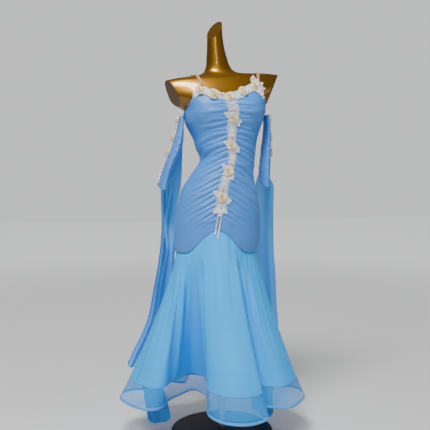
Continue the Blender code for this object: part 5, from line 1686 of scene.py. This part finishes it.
def bud_leaf_motif():
    """Two pointed ribbon leaves, one to each side."""
    shape = bmesh.new()
    for sign in (-1, 1):
        rows = []
        for step in np.linspace(0, 1, 8):
            half = 0.0026 * sin(pi * min(step * 1.05, 1.0)) ** 0.8 + 0.0003
            reach = 0.0020 + 0.0090 * step
            lift = 0.0006 + 0.0022 * step * (1 - 0.5 * step)
            rows.append([shape.verts.new((sign * reach, side * half, lift + 0.0004 * (1 - abs(side))))
                         for side in (-1, 0, 1)])
        for low, high in zip(rows, rows[1:]):
            for corner in range(2):
                shape.faces.new((low[corner], low[corner + 1], high[corner + 1], high[corner]))
    bmesh.ops.recalc_face_normals(shape, faces=shape.faces)
    bmesh.ops.solidify(shape, geom=list(shape.faces), thickness=RIBBON_THICK)
    sort_shape(shape)
    return finished("bud_leaves", shape)


BUD_PARTS = (("", bud_motif(), ribbon, 1.0, 0.06, 3.0, 0),
             ("_leaves", bud_leaf_motif(), leaf_ribbon, 1.0, 0.1, 0.6, 1))
front_buds = trims_apart("ribbon_front", "bud_front", frames(front_place, 0.001, FRONT_BUDS, TINY), 201,
                         *BUD_PARTS)
neck_buds = trims_apart("ribbon_neck", "bud_neck", frames(neck_place, 0.006, NECK_BUDS, NECK_TINY), 221,
                        *BUD_PARTS)
left_buds = trims_apart("ribbon_left", "bud_left", frames(left_place, 0.0, SLEEVE_BUDS, SLEEVE_TINY), 231,
                        *BUD_PARTS)
right_buds = trims_apart("ribbon_right", "bud_right", frames(right_place, 0.0, SLEEVE_BUDS, SLEEVE_TINY), 241,
                         *BUD_PARTS)
print("rosebuds:", len(front_buds + neck_buds + left_buds + right_buds))

# %% [markdown]
# Two chains of clear stones hang from the end of the front lace. A chain is a row of round stones,
# each in a metal cup, with a short link between the cups.

# %% Chains of stones
CHAINS = ((-0.005, 0.849, 0.775), (0.005, 0.849, 0.740))
STONE_PITCH, STONE_RADIUS = 0.0060, 0.0026
CHAIN_LIFT = 0.0052
CUP_SIDES = 12
CUP_PROFILE = (
    # radius and height, in radii of the stone
    (0.0, 0.0), (0.85, 0.0), (1.10, 0.45), (1.12, 0.95), (1.03, 0.98), (0.98, 0.75), (0.0, 0.70),
)


def stone_motif():
    """A round cut stone: a flat table, two rings of facets and a girdle."""
    shape = bmesh.new()
    rings = []
    for radius, z, shift in ((0.50, 1.55, 0.0), (0.82, 1.30, 0.5), (1.0, 0.95, 0.0), (0.96, 0.80, 0.5)):
        rings.append([shape.verts.new((radius * STONE_RADIUS * cos(2 * pi * (k + shift) / 8),
                                       radius * STONE_RADIUS * sin(2 * pi * (k + shift) / 8),
                                       z * STONE_RADIUS)) for k in range(8)])
    for level, (high, low) in enumerate(zip(rings, rings[1:])):
        for k in range(8):
            if level % 2 == 0:
                shape.faces.new((high[k], low[k], high[(k + 1) % 8]))
                shape.faces.new((low[k], low[(k + 1) % 8], high[(k + 1) % 8]))
            else:
                shape.faces.new((high[k], low[k], low[k - 1]))
                shape.faces.new((high[k], high[(k + 1) % 8], low[k]))
    shape.faces.new(rings[0])
    shape.faces.new(list(reversed(rings[-1])))
    return finished("stone", shape, smooth=False)


def cup_motif():
    """A metal cup with a rolled rim, four claws and a link to the next cup."""
    shape = bmesh.new()
    profile = [(radius * STONE_RADIUS, z * STONE_RADIUS) for radius, z in CUP_PROFILE]
    skin(shape, spun_rings(shape, profile, CUP_SIDES))
    for k in range(4):
        turn = pi / 4 + k * pi / 2
        reach = 1.06 * STONE_RADIUS
        tube(shape, [(reach * cos(turn), reach * sin(turn), 0.8 * STONE_RADIUS),
                     (0.80 * reach * cos(turn), 0.80 * reach * sin(turn), 1.35 * STONE_RADIUS)], 0.0002, 4,
             closed=False)
    tube(shape, [(STONE_RADIUS, 0, 0.0004), (STONE_PITCH - STONE_RADIUS, 0, 0.0004)], 0.0003, 5, closed=False)
    return finished("cup", shape)


def chain_frames():
    """The lowest cup of each chain has no link, so each chain is set from the bottom up."""
    parts = []
    for across, top, low in CHAINS:
        count = round((top - low) / STONE_PITCH)
        heights = low + STONE_PITCH * np.arange(count)
        parts.append(frames(lambda a, z: front_place(a, z, CHAIN_LIFT), across, heights, TINY))
    return join_frames(*parts)


chain_places = chain_frames()
stones = set_trim("rhinestone_stones", chain_places, stone_motif(), stone, 1.0, 0.02, 0.3, 301)
cups = set_trim("rhinestone_cups", chain_places, cup_motif(), silver, 1.0, 0.0, 0.03, 302)
drops = joined("rhinestone_chains", stones, cups)
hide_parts("rhinestone_drops")
print("stones:", len(chain_places[0]))

# %% [markdown]
# Two rows of stitches run above the hip seam. Each stitch is a short piece of thread that dips into
# the cloth at both ends, and one row of the panel's own grid is the line that they follow.

# %% Stitches
STITCH = 0.0026


def stitch_motif():
    shape = bmesh.new()
    path = [(STITCH * share, 0, 0.0003 * (1 - (2 * share) ** 2)) for share in (-0.5, -0.3, 0, 0.3, 0.5)]
    tube(shape, path, 0.00028, 5, closed=False)
    return finished("stitch", shape)


def grid_frames(grid, row, lift, step=STITCH * 1.35):
    """Evenly spaced frames along one row of a cloth's grid."""
    line, normals = grid[row], outward_normals(grid)[row]
    gone = np.concatenate([[0], np.cumsum(np.linalg.norm(np.diff(line, axis=0), axis=-1))])
    at = np.arange(step, gone[-1] - step, step)
    point = np.stack([np.interp(at, gone, line[:, axis]) for axis in range(3)], axis=-1)
    facing = np.stack([np.interp(at, gone, normals[:, axis]) for axis in range(3)], axis=-1)
    run = np.gradient(point, axis=0)
    return point + facing * lift, facing, run / np.linalg.norm(run, axis=-1, keepdims=True)


def row_above(grid, height):
    """The grid row that lies nearest to a height above its last row."""
    above = np.abs(grid[:, :, 2] - grid[-1:, :, 2] - height).mean(axis=1)
    return int(np.argmin(above))


def seam_stitches():
    parts = []
    for grid in (left_grid, right_grid, back_grid):
        for height in (0.0035, 0.0090):
            parts.append(grid_frames(grid, row_above(grid, height), JERSEY_THICK))
    return join_frames(*parts)


stitches = set_trim("hip_stitches", seam_stitches(), stitch_motif(), stitch_thread, 1.0, 0.03, 0.03, 401)
print("stitches:", len(stitches.data.polygons))

# %% [markdown]
# Every piece rides on the one rigid body.

# %% Ride
SLOTS = {
    "blue_jersey": [front_left, front_right, back, sleeve_left, sleeve_right],
    "blue_organza": [skirt_front, skirt_back],
    "blue_lining": [under_front, under_back],
    "blue_binding": [binding],
    "blue_chiffon": [float_left_front, float_left_rear, float_right],
    "nude_elastic": [strap_left, strap_right],
    "white_lace": [lace_front, lace_neck, lace_left, lace_right],
    "cream_tulle": front_rosettes + neck_rosettes + left_rosettes + right_rosettes,
    "coral_ribbon": front_buds + neck_buds + left_buds + right_buds,
    "clear_stones": [drops],
}
for name, pieces in SLOTS.items():
    for piece in pieces:
        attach(piece, "root")
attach(stitches, "root")
print("pieces:", sum(len(pieces) for pieces in SLOTS.values()))

# %% [markdown]
# The hem's length round is read off the binding's path. The ruched fronts are cut longer than they
# lie, and a skirt panel is part of a wide ring.

# %% The hem's length
hem_round = float(np.linalg.norm(np.diff(hem_ring()[0], axis=0), axis=-1).sum())
